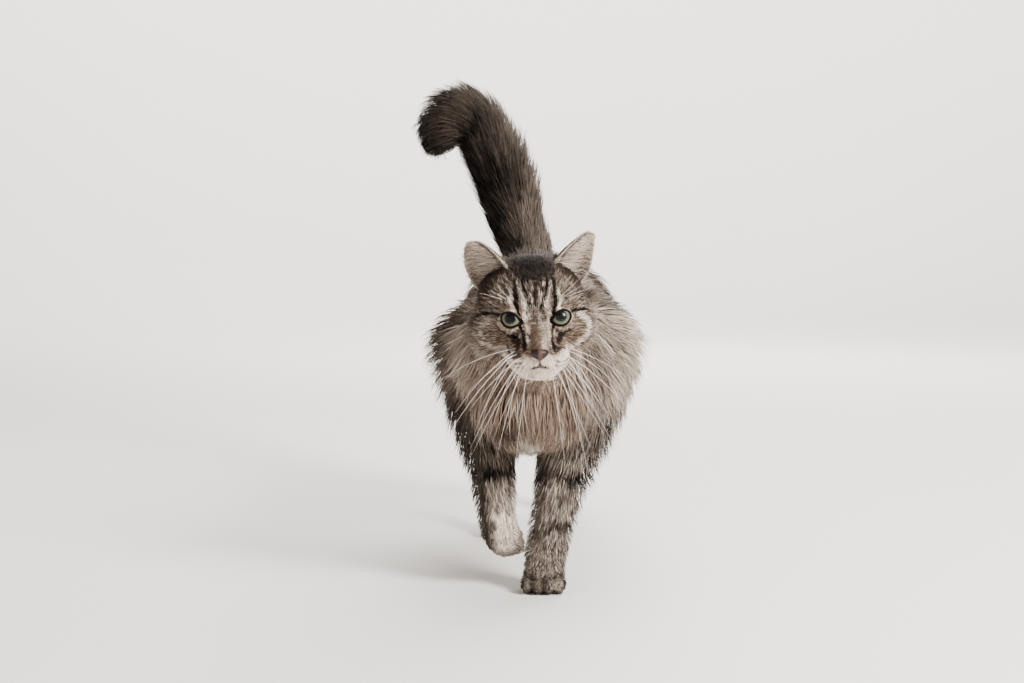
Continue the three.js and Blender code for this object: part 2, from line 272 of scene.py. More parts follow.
# The opening between the lids of each eye, from its inner corner over the upper lid and back: degrees
# outwards and upwards from straight ahead, as seen from the middle of the eyeball.
LIDS = {
    1: [
        (-35, 12), (-28, 26), (-16, 40), (15, 52), (46, 48), (66, 33), (61, 19), (43, 8), (26, -3), (6, -7),
        (-14, -4), (-28, 4),
    ],
    -1: [
        (-30, 10), (-24, 23), (-17, 34), (-4, 45), (21, 52), (50, 48), (71, 34), (61, 18), (46, 5), (32, -3),
        (13, -6), (-3, -2), (-16, 3),
    ],
}
LID_AHEAD = {1: (16, 23), -1: (20, 24)}  # the middle of each opening: degrees out, degrees up
LID_LOWEST, LID_HIGHEST = 0.45, 0.6  # of the lid's edge over the ball
LID_SLOPE = 0.75  # how fast the lid rises away from its edge
BEHIND_BALL = 2.5  # how far the skin sinks behind the eye
GAZE = {1: (5.0, 31.0), -1: (16.0, 30.0)}  # where each pupil points: degrees out, degrees up
LID_EDGE = 0.7  # half the thickness of the black edge of a lid

# The line of the mouth, in the head's frame: down from the nose, and from there to one corner.
PHILTRUM = [(0, -37, -21), (0, -36, -24), (0, -35, -27), (0, -34, -29)]
LIP = [(0, -34, -29), (4, -34, -30), (9, -32, -30), (14, -27, -29), (18, -20, -27), (20, -11, -25)]


def pairs(lumps):
    """Lumps, and their mirror images on the other side of the head."""
    return [[(x * side, y, z), half] for (x, y, z), half in lumps for side in (1, -1)]


def outside(points, lumps, blend):
    """About how far each point is outside lumps that melt into each other."""
    total = np.zeros(len(points))
    for middle, half in lumps:
        way = points - np.asarray(middle, float)
        k0 = np.linalg.norm(way / half, axis=1)
        k1 = np.linalg.norm(way / np.square(np.asarray(half, float)), axis=1)
        total += np.exp(-k0 * (k0 - 1) / np.maximum(k1, 1e-6) / blend)
    return -np.log(np.maximum(total, 1e-30)) * blend


def wrap(ways, lumps, middle, blend, reach, grow):
    """Draws points in from far out onto lumps, along these ways to one middle, and stops this far out."""
    reached = np.full(len(ways), float(reach))
    for _ in range(WRAP_ROUNDS):
        at = middle + ways * reached[:, None]
        reached -= WRAP_STEP * (outside(at, lumps, blend) - grow)
    return middle + ways * reached[:, None]


def eye_middle(side):
    return np.array([side * EYE_APART / 2, -EYE_FORWARD, 0.0])


def facing(side, out, up):
    """The way that is so many degrees outwards and upwards from straight ahead of the head."""
    out, up = math.radians(out), math.radians(up)
    return np.array([side * math.sin(out) * math.cos(up), -math.cos(out) * math.cos(up), math.sin(up)])


def ball_radius(ways, side):
    """Of the eyeball along ways from its middle: its clear front bulges round the gaze."""
    off = np.degrees(np.arccos(np.clip(ways @ facing(side, *GAZE[side]), -1, 1)))
    return EYE_RADIUS + EYE_BULGE * ease(50, 12, off)


def lid_axes(side):
    """Ahead of the eye's opening, outwards across it, and up it."""
    ahead = facing(side, *LID_AHEAD[side])
    outwards = -side * unit(np.cross(ahead, [0, 0, 1]))
    return ahead, outwards, -side * np.cross(outwards, ahead)


def rolled_out(ways, side):
    """Ways from the middle of an eyeball as millimetres across and up its opening, rolled out flat."""
    ahead, outwards, upwards = lid_axes(side)
    flat = np.column_stack([ways @ outwards, ways @ upwards])
    off = np.arccos(np.clip(ways @ ahead, -1, 1))
    return unit(flat) * (off * EYE_RADIUS)[:, None]


def lid_line(side, steps=5):
    """The closed line round the opening of an eye, rolled out flat."""
    corners = rolled_out(np.array([facing(side, *corner) for corner in LIDS[side]]), side)
    line = along_curve(np.vstack([corners[-1:], corners, corners[:2]]), steps)
    return line[steps : steps * (len(corners) + 1)]


def from_lid(points, side):
    """How far each point of the head's frame is outside the opening of an eye, and how far ahead."""
    way = points - eye_middle(side)
    flat = rolled_out(unit(way), side)
    line = lid_line(side)
    closed = np.vstack([line, line[:1]])
    inside = np.zeros(len(points), bool)
    x, y = flat.T
    for (ax, ay), (bx, by) in zip(closed[:-1], closed[1:]):
        if ay != by:
            inside ^= ((ay > y) != (by > y)) & (x < ax + (bx - ax) * (y - ay) / (by - ay))
    beside = to_line(flat, closed)
    return np.where(inside, -beside, beside), way @ facing(side, *LID_AHEAD[side])


def from_eyes(points):
    """How far each point of the head's frame is outside the nearer eye, and the way from that eye."""
    edge, away = np.full(len(points), 30.0), np.zeros_like(points)
    for side in (1, -1):
        beside, ahead = from_lid(points, side)
        near = (ahead > 0) & (beside < edge)
        middle = eye_middle(side) + facing(side, *LID_AHEAD[side]) * EYE_RADIUS
        edge = np.where(near, beside, edge)
        away = np.where(near[:, None], unit(points - middle), away)
    return edge, away


def to_line(points, line):
    """How far points are from a line of points, in as many dimensions as they have."""
    line = np.asarray(line, float)
    nearest = np.full(len(points), np.inf)
    for a, b in zip(line[:-1], line[1:]):
        span = b - a
        t = np.clip((points - a) @ span / max(span @ span, 1e-9), 0, 1)
        nearest = np.minimum(nearest, np.linalg.norm(points - a - t[:, None] * span, axis=1))
    return nearest


def mirrored(line):
    return [(-x, y, z) for x, y, z in line]


def fine_globe():
    """A sphere that is finer where the face will be, and finest at the eyes and the mouth."""
    points, faces = primitive("primitive_ico_sphere_add", subdivisions=6)
    mesh = bmesh.new()
    made = [mesh.verts.new(p) for p in points]
    for face in faces:
        mesh.faces.new([made[i] for i in face])
    details = [unit(eye_middle(s) + [0, -9, 3] - HEAD_MIDDLE) for s in (1, -1)]
    details.append(unit(np.array([0, -33.0, -28]) - HEAD_MIDDLE))
    front = unit([0, -1, -0.1])
    for goals, least in (([front], 0.25), (details, 0.92)):
        wanted = [
            edge
            for edge in mesh.edges
            if max((edge.verts[0].co + edge.verts[1].co).normalized() @ Vector(g) for g in goals) > least
        ]
        bmesh.ops.subdivide_edges(mesh, edges=wanted, cuts=1, use_grid_fill=True)
    bmesh.ops.triangulate(mesh, faces=mesh.faces[:])
    mesh.verts.index_update()
    ways = unit([tuple(v.co) for v in mesh.verts])
    faces = np.array([[v.index for v in face.verts] for face in mesh.faces])
    mesh.free()
    return ways, faces


def head_depth(points):
    """How deep the skin lies under the tips of the fur: little on the muzzle, more on the cheeks."""
    far = np.linalg.norm(points - NOSE_TIP, axis=1)
    return 1.3 + 2.9 * ease(16, 74, far)


def set_eyes_in(points):
    """Opens the lids: the skin sinks behind each eyeball, and its edges lie on the ball."""
    for side in (1, -1):
        beside, ahead = from_lid(points, side)
        way = points - eye_middle(side)
        far = np.linalg.norm(way, axis=1)
        near = (ahead > 1) & (beside < 12) & (far < 30)
        ball = ball_radius(unit(way), side)
        lid = np.clip(far, ball + LID_LOWEST, ball + LID_HIGHEST + LID_SLOPE * np.maximum(beside, 0))
        sunk = np.minimum(far, ball - BEHIND_BALL)
        target = np.where(beside < 0, sunk, lid)
        points = np.where(near[:, None], eye_middle(side) + unit(way) * target[:, None], points)
    return points


def part_lips(points):
    """Presses the line of the mouth into the skin."""
    inwards = unit(HEAD_MIDDLE + [0, 6, -8] - points)
    for line, deep, wide in ((PHILTRUM, 0.9, 0.7), (LIP, 1.5, 0.9), (mirrored(LIP), 1.5, 0.9)):
        pressed = deep * np.exp(-((to_line(points, line) / wide) ** 2))
        points = points + inwards * pressed[:, None]
    return points


def head_skin():
    ways, faces = fine_globe()
    lumps = SKULL + pairs(SKULL_PAIRS)
    rough = wrap(ways, lumps, HEAD_MIDDLE, SKULL_BLEND, WRAP_FROM, -2.0)
    points = wrap(ways, lumps, HEAD_MIDDLE, SKULL_BLEND, WRAP_FROM, -head_depth(rough))
    return part_lips(set_eyes_in(points)), faces


# --- ears and lids ----------------------------------------------------------------------------------

# An ear from its root to its tip: middle, half width, how deep it bows. It opens outwards.
EARS = {
    1: {
        "turned": 25,
        "stations": [
            (27, 41, 6, 13, 10),
            (32, 39, 20, 19.5, 14),
            (36, 36.5, 33, 19.5, 12),
            (41, 33.5, 44.5, 15.5, 8),
            (45.5, 31, 54, 10.5, 4),
            (49, 29.5, 60.5, 5.5, 1),
        ],
    },
    -1: {
        "turned": 33,
        "stations": [
            (-27, 41, 4, 14, 11),
            (-32, 39, 18, 21, 15),
            (-36, 36.5, 31, 21.5, 13),
            (-40.5, 33.5, 42, 18, 9),
            (-44, 31, 50.5, 13, 5),
            (-46.5, 29.5, 56.5, 7.5, 1.5),
        ],
    },
}
EAR_THICK = 1.5
EAR_ROWS = 9  # between two stations
EAR_COLUMNS = 30


def ear_grid(side):
    """Middles of the ear's wall as rows from root to tip, with the way out of its hollow side."""
    ear = EARS[side]
    rows = along_curve(ear["stations"], EAR_ROWS)
    middles, halves, bows = rows[:, :3], rows[:, 3] - 0.7, rows[:, 4]
    tangents = unit(np.gradient(middles, axis=0))
    turn = math.radians(ear["turned"]) * side
    level = np.array([math.cos(turn), math.sin(turn), 0.0])
    right = unit(level - (tangents @ level)[:, None] * tangents)
    back = np.cross(right, tangents)
    u = np.sin(np.linspace(-math.pi / 2, math.pi / 2, EAR_COLUMNS))
    bowed = bows[:, None] * (u[None] ** 2 - 1)
    wall = (
        middles[:, None]
        + right[:, None] * (halves[:, None] * u[None])[..., None]
        + back[:, None] * bowed[..., None]
    )
    across = right[:, None] * halves[:, None, None] + back[:, None] * (2 * bows[:, None] * u)[..., None]
    hollow = unit(np.cross(np.broadcast_to(tangents[:, None], across.shape), across))
    forward = np.sign(np.mean(hollow[..., 1])) * -1
    return wall, hollow * forward, u, np.linspace(0, 1, len(rows))


def ear_skin(side):
    """A thin bowed leaf, closed at its edges. Also gives each point's place in it."""
    wall, hollow, u, along = ear_grid(side)
    rows, columns = wall.shape[:2]
    thick = EAR_THICK * np.sqrt(np.maximum(1 - np.abs(u) ** 6, 0.12))[None, :, None]
    thick = thick * np.sqrt(np.maximum(1 - along**10, 0.15))[:, None, None]
    inner, outer = wall + hollow * thick / 2, wall - hollow * thick / 2
    points = np.concatenate([inner.reshape(-1, 3), outer.reshape(-1, 3)])
    index = np.arange(rows * columns).reshape(rows, columns)
    a, b, c, d = index[:-1, :-1], index[:-1, 1:], index[1:, 1:], index[1:, :-1]
    quads = np.stack([a, b, c, d], -1).reshape(-1, 4)
    rim = np.concatenate([index[0], index[1:, -1], index[-1, -2::-1], index[-2:0:-1, 0]])
    after = np.roll(rim, -1)
    edge = np.stack([after, rim, rim + index.size, after + index.size], -1)
    faces = np.concatenate([quads, quads[:, ::-1] + index.size, edge])
    span = np.broadcast_to(u[None], (rows, columns)).ravel()
    height = np.broadcast_to(along[:, None], (rows, columns)).ravel()
    place_in = np.stack([np.tile(span, 2), np.tile(height, 2), np.repeat([1.0, -1.0], index.size)], -1)
    return points, faces, place_in


def lid_outline(side, out):
    """Points round the opening of an eye, so far out from the eyeball, in the head's frame."""
    ahead, outwards, upwards = lid_axes(side)
    flat = lid_line(side, 7)
    off = np.linalg.norm(flat, axis=1)[:, None] / EYE_RADIUS
    across = unit(flat)
    ways = ahead * np.cos(off) + (across[:, :1] * outwards + across[:, 1:] * upwards) * np.sin(off)
    return eye_middle(side) + ways * (ball_radius(ways, side) + out)[:, None]


def tube(line, radius, closed=True, sides=8):
    """A tube round a line of points. Its radius may change along it."""
    line = np.asarray(line, float)
    radius = np.broadcast_to(radius, len(line))
    step = np.roll(line, -1, 0) - np.roll(line, 1, 0) if closed else np.gradient(line, axis=0)
    along = unit(step)
    first = np.cross(along, [0.3, 0.2, 0.9])
    side_way = unit(first)
    other = np.cross(along, side_way)
    angle = np.linspace(0, 2 * math.pi, sides, endpoint=False)
    ring = side_way[:, None] * np.cos(angle)[:, None] + other[:, None] * np.sin(angle)[:, None]
    points = (line[:, None] + ring * radius[:, None, None]).reshape(-1, 3)
    index = np.arange(len(points)).reshape(len(line), sides)
    after = np.roll(index, -1, 0) if closed else index[1:]
    before = index if closed else index[:-1]
    quads = np.stack([before, np.roll(before, -1, 1), np.roll(after, -1, 1), after], -1)
    return points, quads.reshape(-1, 4)


# --- shape of the body ------------------------------------------------------------------------------

# Flesh and bone without the coat, as chains of lumps in the cat's frame:
# middle x, y, z, half width, half depth, half height, and the length of the hair there.
TRUNK = [
    (-9, -10, 162, 13, 15, 27, 46),
    (-1, -6, 186, 38, 32, 44, 50),
    (-1, 18, 198, 50, 36, 54, 50),
    (0, 50, 206, 57, 34, 54, 46),
    (0, 110, 206, 64, 34, 60, 42),
    (-1, 180, 204, 64, 34, 60, 42),
    (-4, 250, 208, 60, 34, 62, 42),
    (-7, 310, 222, 54, 34, 62, 42),
    (-9, 350, 236, 42, 30, 50, 40),
    (-10, 378, 250, 26, 24, 32, 38),
]
NECK = [
    (-3, -36, 226, 37, 30, 36, 26),
    (-4, -14, 222, 44, 30, 42, 40),
    (-4, 14, 216, 52, 32, 48, 50),
    (-3, 50, 212, 56, 34, 50, 50),
]
TAIL = [
    (-12, 366, 262, 24, 56),
    (-19, 394, 284, 21, 64),
    (-31, 414, 312, 18, 66),
    (-43, 426, 348, 16, 64),
    (-56, 430, 388, 15, 62),
    (-69, 430, 420, 13.5, 64),
    (-84, 427, 438, 13.5, 64),
    (-102, 424, 438, 13, 58),
    (-114, 421, 428, 10, 44),
]
FRONT_LEFT = [
    (36, 46, 222, 32, 36),
    (43, 36, 196, 30, 34),
    (39, 30, 170, 28, 32),
    (31, 26, 143, 24, 28),
    (22, 20, 114, 19.5, 21),
    (16.5, 12, 84, 16.5, 15),
    (11, 6, 57, 15, 11),
    (7, 4, 32, 15, 8),
    (5, 2, 17, 15, 5),
]
FRONT_RIGHT = [
    (-40, 48, 216, 32, 36),
    (-47, 38, 188, 29, 34),
    (-46, 30, 160, 24, 32),
    (-43, 26, 134, 20, 27),
    (-41, 20, 110, 16.5, 19),
    (-38.5, 10, 86, 14.5, 14),
    (-36.5, 4, 66, 14, 10),
    (-34, 8, 50, 13.5, 8),
    (-29, 20, 38, 13, 5),
]
HIND_LEFT = [
    (25, 332, 238, 38, 42),
    (34, 320, 208, 37, 42),
    (42, 309, 180, 31, 36),
    (45, 308, 160, 24, 32),
    (40, 335, 132, 17, 26),
    (33, 365, 104, 12, 18),
    (28, 382, 84, 10.5, 12),
    (25, 378, 60, 9.5, 9),
    (21, 371, 32, 11, 7),
    (20, 366, 20, 12, 5),
]
HIND_RIGHT = [
    (-42, 318, 236, 37, 42),
    (-52, 296, 210, 34, 42),
    (-58, 272, 186, 28, 36),
    (-61, 261, 170, 23, 32),
    (-58, 267, 140, 17, 26),
    (-53, 274, 102, 12, 18),
    (-50, 277, 68, 10.5, 12),
    (-48, 266, 48, 9.5, 9),
    (-46, 248, 28, 11, 7),
    (-45, 240, 19, 12, 5),
]
AREAS = ("head", "ear", "neck", "trunk", "front_left", "front_right", "hind_left", "hind_right", "tail")
CHAINS = (
    ("trunk", TRUNK),
    ("neck", NECK),
    ("tail", TAIL),
    ("front_left", FRONT_LEFT),
    ("front_right", FRONT_RIGHT),
    ("hind_left", HIND_LEFT),
    ("hind_right", HIND_RIGHT),
)
TOE_SPACING = 10.4  # between the middles of toes, on the widest paw
TOE_SHADE_SPACING = 9.4  # between the lines of painted shade in the gaps between the toes
TOE_HAIR = 3.2  # length of the hair on the toes
CHAIN_STEPS = 5  # between two rows of a chain


def standing_toes(x, y, half_width, length):
    """Lumps of a paw on the floor: its back, and four toes with the outer two further back."""
    lumps = [(x, y + 3, 12, half_width - 5, length / 2 - 4, 11)]
    for n in (-1.5, -0.5, 0.5, 1.5):
        toe_x = x + n * TOE_SPACING * (half_width - 2) / 21
        lumps.append((toe_x, y - length * 0.3 + abs(n) * 2.6 - 2.4, 7.2, 4.5, 10.4, 6.7))
    return lumps


def hanging_toes():
    lumps = [(-29.5, 22, 37, 13.5, 12, 11)]
    for n in (-1.5, -0.5, 0.5, 1.5):
        lumps.append((-28 + n * 6.6, 27.5 + abs(n), 31.5 + abs(n), 4.2, 9.0, 6.2))
    return lumps


PAWS = {
    "front_left": standing_toes(4.5, 0, 21, 46),
    "front_right": hanging_toes(),
    "hind_left": standing_toes(20, 362, 18.5, 44),
    "hind_right": standing_toes(-45, 234, 18.5, 44),
}


def body_lumps():
    """All lumps of the body: middles, half sizes, ways along the chain, hair lengths and areas."""
    found = []
    for area, rows in CHAINS:
        rows = [r if len(r) == 7 else (*r[:3], r[3], r[3], r[3], r[4]) for r in rows]
        fine = along_curve(rows, CHAIN_STEPS)
        way = unit(np.gradient(fine[:, :3], axis=0))
        number = np.full(len(fine), AREAS.index(area))
        found.append((fine[:, :3], fine[:, 3:6], way, fine[:, 6], number))
    for area, rows in PAWS.items():
        rows = np.array(rows, float)
        way = np.tile(unit([0, -1, -0.35]), (len(rows), 1))
        if area == "front_right":
            way = np.tile(unit([0, 0.75, -0.65]), (len(rows), 1))
        number = np.full(len(rows), AREAS.index(area))
        found.append((rows[:, :3], rows[:, 3:], way, np.full(len(rows), TOE_HAIR), number))
    return [np.concatenate(column) for column in zip(*found)]


def body_skin(lumps, voxel):
    """Joins the lumps into one smooth body."""
    globe, faces = primitive("primitive_ico_sphere_add", subdivisions=4)
    middles, halves = lumps[:2]
    points = (globe[None] * halves[:, None] + middles[:, None]).reshape(-1, 3)
    all_faces = (faces[None] + np.arange(len(middles))[:, None, None] * len(globe)).reshape(-1, 3)
    obj = mesh_of("body", points, all_faces)
    finish_with(obj, "REMESH", mode="VOXEL", voxel_size=voxel / 1000)
    finish_with(obj, "SMOOTH", factor=0.5, iterations=4)
    finish_with(obj, "TRIANGULATE")
    return obj


# --- the skin in one piece, and how the coat lies on it ---------------------------------------------


def envelope(voxel):
    """The outside of all the solids of flesh in one surface, as a search tree."""
    deselect()
    copies = []
    for name in FLESH:
        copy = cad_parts[name].copy()
        copy.data = copy.data.copy()
        bpy.context.scene.collection.objects.link(copy)
        copies.append(copy)
    for copy in copies:
        copy.select_set(True)
    bpy.context.view_layer.objects.active = copies[0]
    bpy.ops.object.join()
    obj = bpy.context.object
    bpy.ops.object.mode_set(mode="EDIT")
    bpy.ops.mesh.select_all(action="SELECT")
    bpy.ops.mesh.remove_doubles(threshold=1e-5)
    bpy.ops.object.mode_set(mode="OBJECT")
    finish_with(obj, "DISPLACE", strength=0.0006, mid_level=0)
    finish_with(obj, "REMESH", mode="VOXEL", voxel_size=voxel / 1000)
    tree = BVHTree.FromPolygons(points_of(obj).tolist(), triangles_of(obj).tolist())
    bpy.data.objects.remove(obj)
    return tree


def nearest_points(points, goals):
    tree = KDTree(len(goals))
    for i, goal in enumerate(goals):
        tree.insert(goal, i)
    tree.balance()
    return np.array([tree.find(p)[1] for p in points])


def evened(obj, values, rounds):
    """Evens out values over a mesh, each point with its neighbours."""
    flat = np.empty(len(obj.data.edges) * 2, np.int32)
    obj.data.edges.foreach_get("vertices", flat)
    a, b = flat.reshape(-1, 2).T
    many = (np.bincount(a, minlength=len(values)) + np.bincount(b, minlength=len(values)))[:, None]
    for _ in range(rounds):
        total = np.zeros_like(values)
        for column in range(values.shape[1]):
            total[:, column] = np.bincount(a, values[b, column], len(values))
            total[:, column] += np.bincount(b, values[a, column], len(values))
        values = (values + total) / (1 + many)
    return values


def on_surface(ways, normals):
    return unit(ways - np.sum(ways * normals, axis=1, keepdims=True) * normals)


def lie_of_coat(points, normals, area, chain_way, ear_up):
    """The way that the hair lies, from root to tip."""
    way = chain_way.copy()
    side = np.sign(points[:, 0] + 3)[:, None] * np.abs(normals[:, :1])
    down = np.array([0.0, 0.0, -1.0])

    head = area == AREAS.index("head")
    local = to_head(points)
    away = unit(local - [0, -37, -13])
    away[:, 2] -= 0.35 * ease(24, 40, np.abs(local[:, 0]))
    edge, from_eye = from_eyes(local)
    away += from_eye * (1.5 * ease(9, 1, edge))[:, None]
    way[head] = (away @ HEAD_TURN.T)[head]

    trunk = area == AREAS.index("trunk")
    flank = np.array([0.0, 1.0, 0.0]) + down * 0.9 * np.abs(side)
    chest = down + np.array([0.18, 0.0, 0.0]) * side
    front = ease(66, 16, points[:, 1])[:, None]
    way[trunk] = mix(unit(flank), unit(chest), front)[trunk]

    neck = area == AREAS.index("neck")
    outwards = unit(points - [-2, -34, 238])
    ruff = outwards * 0.7 + down * 0.8 * ease(0.9, -0.2, normals[:, 2:])
    way[neck] = (unit(ruff) + [0, 0.25, 0])[neck]

    ear = area == AREAS.index("ear")
    way[ear] = ear_up[ear]
    return on_surface(way, normals)


def hair_lengths(points, area, chain_length):
    """Millimetres: short on the muzzle, longer over the face and longest on the ruff and the tail."""
    length = chain_length.copy()
    local = to_head(points)
    far = np.linalg.norm(local - NOSE_TIP, axis=1)
    on_head = 3.5 + 3.5 * ease(14, 56, far) + 17 * ease(60, 92, far)
    on_head += 7 * ease(-8, -26, local[:, 2]) * ease(20, 40, np.abs(local[:, 0]))
    on_head *= 1 - 0.5 * ease(7, 1, from_eyes(local)[0])
    head = area == AREAS.index("head")
    length[head] = on_head[head]
    length[area == AREAS.index("ear")] = 4.5
    return length


def build_skin(voxel):
    """One closed skin for the whole cat, which keeps how the hair grows as attributes of its points."""
    head_points, head_faces = head_skin()
    head = mesh_of("skin", from_head(head_points), head_faces)
    lumps = body_lumps()
    parts = [head]
    ear_points, ear_places = [], []
    for side in (1, -1):
        points, faces, places = ear_skin(side)
        points = from_head(points)
        ear_points.append(points)
        ear_places.append(places)
        parts.append(mesh_of("ear", points, faces))
        ring, ring_faces = tube(lid_outline(side, 0.25), LID_EDGE)
        parts.append(mesh_of("lid", from_head(ring), ring_faces))
    parts.append(body_skin(lumps, voxel))
    for part in parts:
        finish_with(part, "TRIANGULATE")
        choose(part)
        bpy.ops.object.mode_set(mode="EDIT")
        bpy.ops.mesh.select_all(action="SELECT")
        bpy.ops.mesh.normals_make_consistent(inside=False)
        bpy.ops.object.mode_set(mode="OBJECT")
    for part in parts[1:]:
        finish_with(head, "BOOLEAN", object=part, operation="UNION", solver="MANIFOLD")
        bpy.data.objects.remove(part)
    finish_with(head, "TRIANGULATE")
    keep_growth(head, lumps, np.concatenate(ear_points), np.concatenate(ear_places))
    return head


ENVELOPE_CELL = 3.5  # fineness of the shell that says how deep the coat is
SNUG = 0.4  # the skin of an ear lies this close to the leaf it was made from
NEAR_SKULL = 3  # skin this close to the skull's lumps may belong to the head
NEAR_EYE = 14
FACE_FRONT = -18  # everything in front of this is the face


def keep_growth(skin, lumps, ear_points, ear_places):
    """Works out where on the cat each point of the skin is, and how its hair grows."""
    points, normals = points_of(skin), normals_of(skin)
    middles, halves, ways, lengths, numbers = lumps
    gaps = np.empty((len(points), len(middles)), np.float32)
    for i, (middle, half) in enumerate(zip(middles, halves)):
        scaled = np.linalg.norm((points - middle) / half, axis=1)
        gaps[:, i] = (scaled - 1) * half.min()
    closest = gaps.argmin(1)
    near = np.exp(-(gaps - gaps.min(1, keepdims=True)) / 5)
    near /= near.sum(1, keepdims=True)
    area = numbers[closest].astype(float)
    local = to_head(points)
    from_skull = outside(local, SKULL + pairs(SKULL_PAIRS), SKULL_BLEND)
    on_face = (from_skull < NEAR_SKULL) | (from_eyes(local)[0] < NEAR_EYE) | (local[:, 1] < FACE_FRONT)
    area[(gaps.min(1) > 2.5) & on_face] = AREAS.index("head")
    on_ear = nearest_points(points, ear_points)
    ear = np.linalg.norm(points - ear_points[on_ear], axis=1) < SNUG
    area[ear] = AREAS.index("ear")
    ear_place = np.where(ear[:, None], ear_places[on_ear], 0)
    up_ear = np.array([0.25, -0.1, 1.0])
    ear_up = np.where(points[:, :1] > HEAD_AT[0], up_ear, up_ear * [-1, 1, 1]) @ HEAD_TURN.T
    way = lie_of_coat(points, normals, area, near @ ways, ear_up)
    length = hair_lengths(points, area, near @ lengths)
    even = evened(skin, np.column_stack([way, length]), 14)
    way = np.where(ear[:, None], way, on_surface(even[:, :3], normals))
    length = np.where(ear, length, even[:, 3])
    outer = envelope(ENVELOPE_CELL)
    depth = np.array([outer.find_nearest(p)[3] for p in points])
    # The coat lies flatter, and is shorter, on top of the neck; it is also flatter along the back.
    nape = ease(0.1, 0.7, normals[:, 2]) * ease(110, 60, points[:, 1]) * ease(232, 244, points[:, 2])
    back = ease(0.3, 0.8, normals[:, 2]) * ease(228, 240, points[:, 2]) * (area != AREAS.index("tail"))
    depth = evened(skin, (depth * (1 - np.maximum(0.7 * nape, 0.45 * back)))[:, None], 6)[:, 0]
    length = length * (1 - 0.45 * nape)
    write(skin, "area", area)
    write(skin, "ear_place", ear_place)
    write(skin, "lie", way)
    write(skin, "hair_length", length)
    write(skin, "coat_depth", depth)
    write(skin, "marking", markings(points, area, ear_place))
    write(skin, "strand", np.tile([0.35, 0.0, 0.5], (len(points), 1)))


# --- markings -----------------------------------------------------------------------------------------

# Strokes on the face: the side of the head (0 both, 1 its left), how dark (or light), how wide in degrees,
# and the line's longitude and latitude as seen from the middle of the skull.
DARK_STROKES = [
    (0, 1.0, 5.0, [(23, 24), (28.5, 35), (37, 46), (42, 55), (47, 63)]),  # from the inner eye to the crown
    (0, 1.0, 4.6, [(9, 34), (14, 44), (19, 51), (25, 58), (31, 65)]),
    (0, 0.95, 3.2, [(2, 37), (2, 47), (1, 60)]),
    (0, 0.95, 3.0, [(10, 51), (13, 59), (17, 67)]),
    (0, 0.75, 3.0, [(49, 33), (54, 41), (60, 49)]),
    (0, 1.0, 4.6, [(50, 19.5), (60, 17.5), (70, 15)]),  # from the outer eye back
    (0, 1.0, 4.6, [(70, 15), (80, 11), (88, 3), (92, -8)]),
    (0, 0.9, 6.0, [(42, 1), (32, -4), (21, -6)]),  # under the eye
    (0, 0.5, 3.0, [(52, -8), (42, -13), (34, -15)]),  # across the cheek
    (0, 0.5, 2.6, [(66, -2), (56, -5), (46, -7)]),
    (-1, 0.75, 5.0, [(74, -13), (66, -13)]),
    (1, 0.85, 7.0, [(82, -20), (85, -22)]),
    (0, 1.0, 4.4, [(21, 10), (15, 3), (13, -3), (13.5, -8)]),  # beside the nose
    (-1, 0.9, 6.0, [(24, -2), (20, -9)]),
    (-1, 0.8, 4.4, [(34, -15), (26, -15.5), (18, -13)]),  # the roots of the whiskers
    (1, 0.85, 3.4, [(15, -11), (23, -12)]),
    (0, 0.6, 1.6, [(14, -17.5), (21, -19), (29, -20)]),
    (0, 0.5, 1.6, [(13, -20.5), (20, -22), (27, -23)]),
]
LIGHT_STROKES = [
    (0, 0.85, 4.6, [(17, 25), (14, 15), (11, 6), (10, 0)]),  # beside the bridge of the nose
    (0, 0.8, 4.6, [(31, 28), (37, 35), (44, 42), (50, 50)]),  # over the eye
    (0, 0.95, 3.6, [(16, 33), (20, 41), (27, 50), (33, 58)]),
    (0, 0.9, 3.2, [(7, 43), (9, 50), (14, 57), (20, 63)]),
    (0, 0.7, 3.4, [(36, -1), (28, -4), (22, -1)]),
    (1, 0.75, 8.0, [(64, 12), (71, 1), (70, -12), (60, -22), (46, -24)]),
    (-1, 0.45, 8.0, [(66, 8), (71, -3), (64, -20), (48, -22)]),
    (0, 0.5, 9.0, [(40, -19), (56, -23), (72, -20), (84, -12)]),
]


def drawn(lon_lat, strokes, soft, wobble):
    """How strongly strokes cover each place."""
    cover = np.zeros(len(lon_lat))
    side, flat = np.sign(lon_lat[:, 0]), np.abs(lon_lat * [1, 0]) + lon_lat * [0, 1]
    for where, strength, wide, line in strokes:
        line = np.array(line, float)
        narrow = math.cos(math.radians(line[:, 1].mean()))
        away = to_line(flat * [narrow, 1], line * [narrow, 1]) + wobble
        here = strength * ease(wide / 2 + soft, wide / 2 - soft, away)
        cover = np.maximum(cover, np.where(side * where >= 0, here, 0))
    return cover


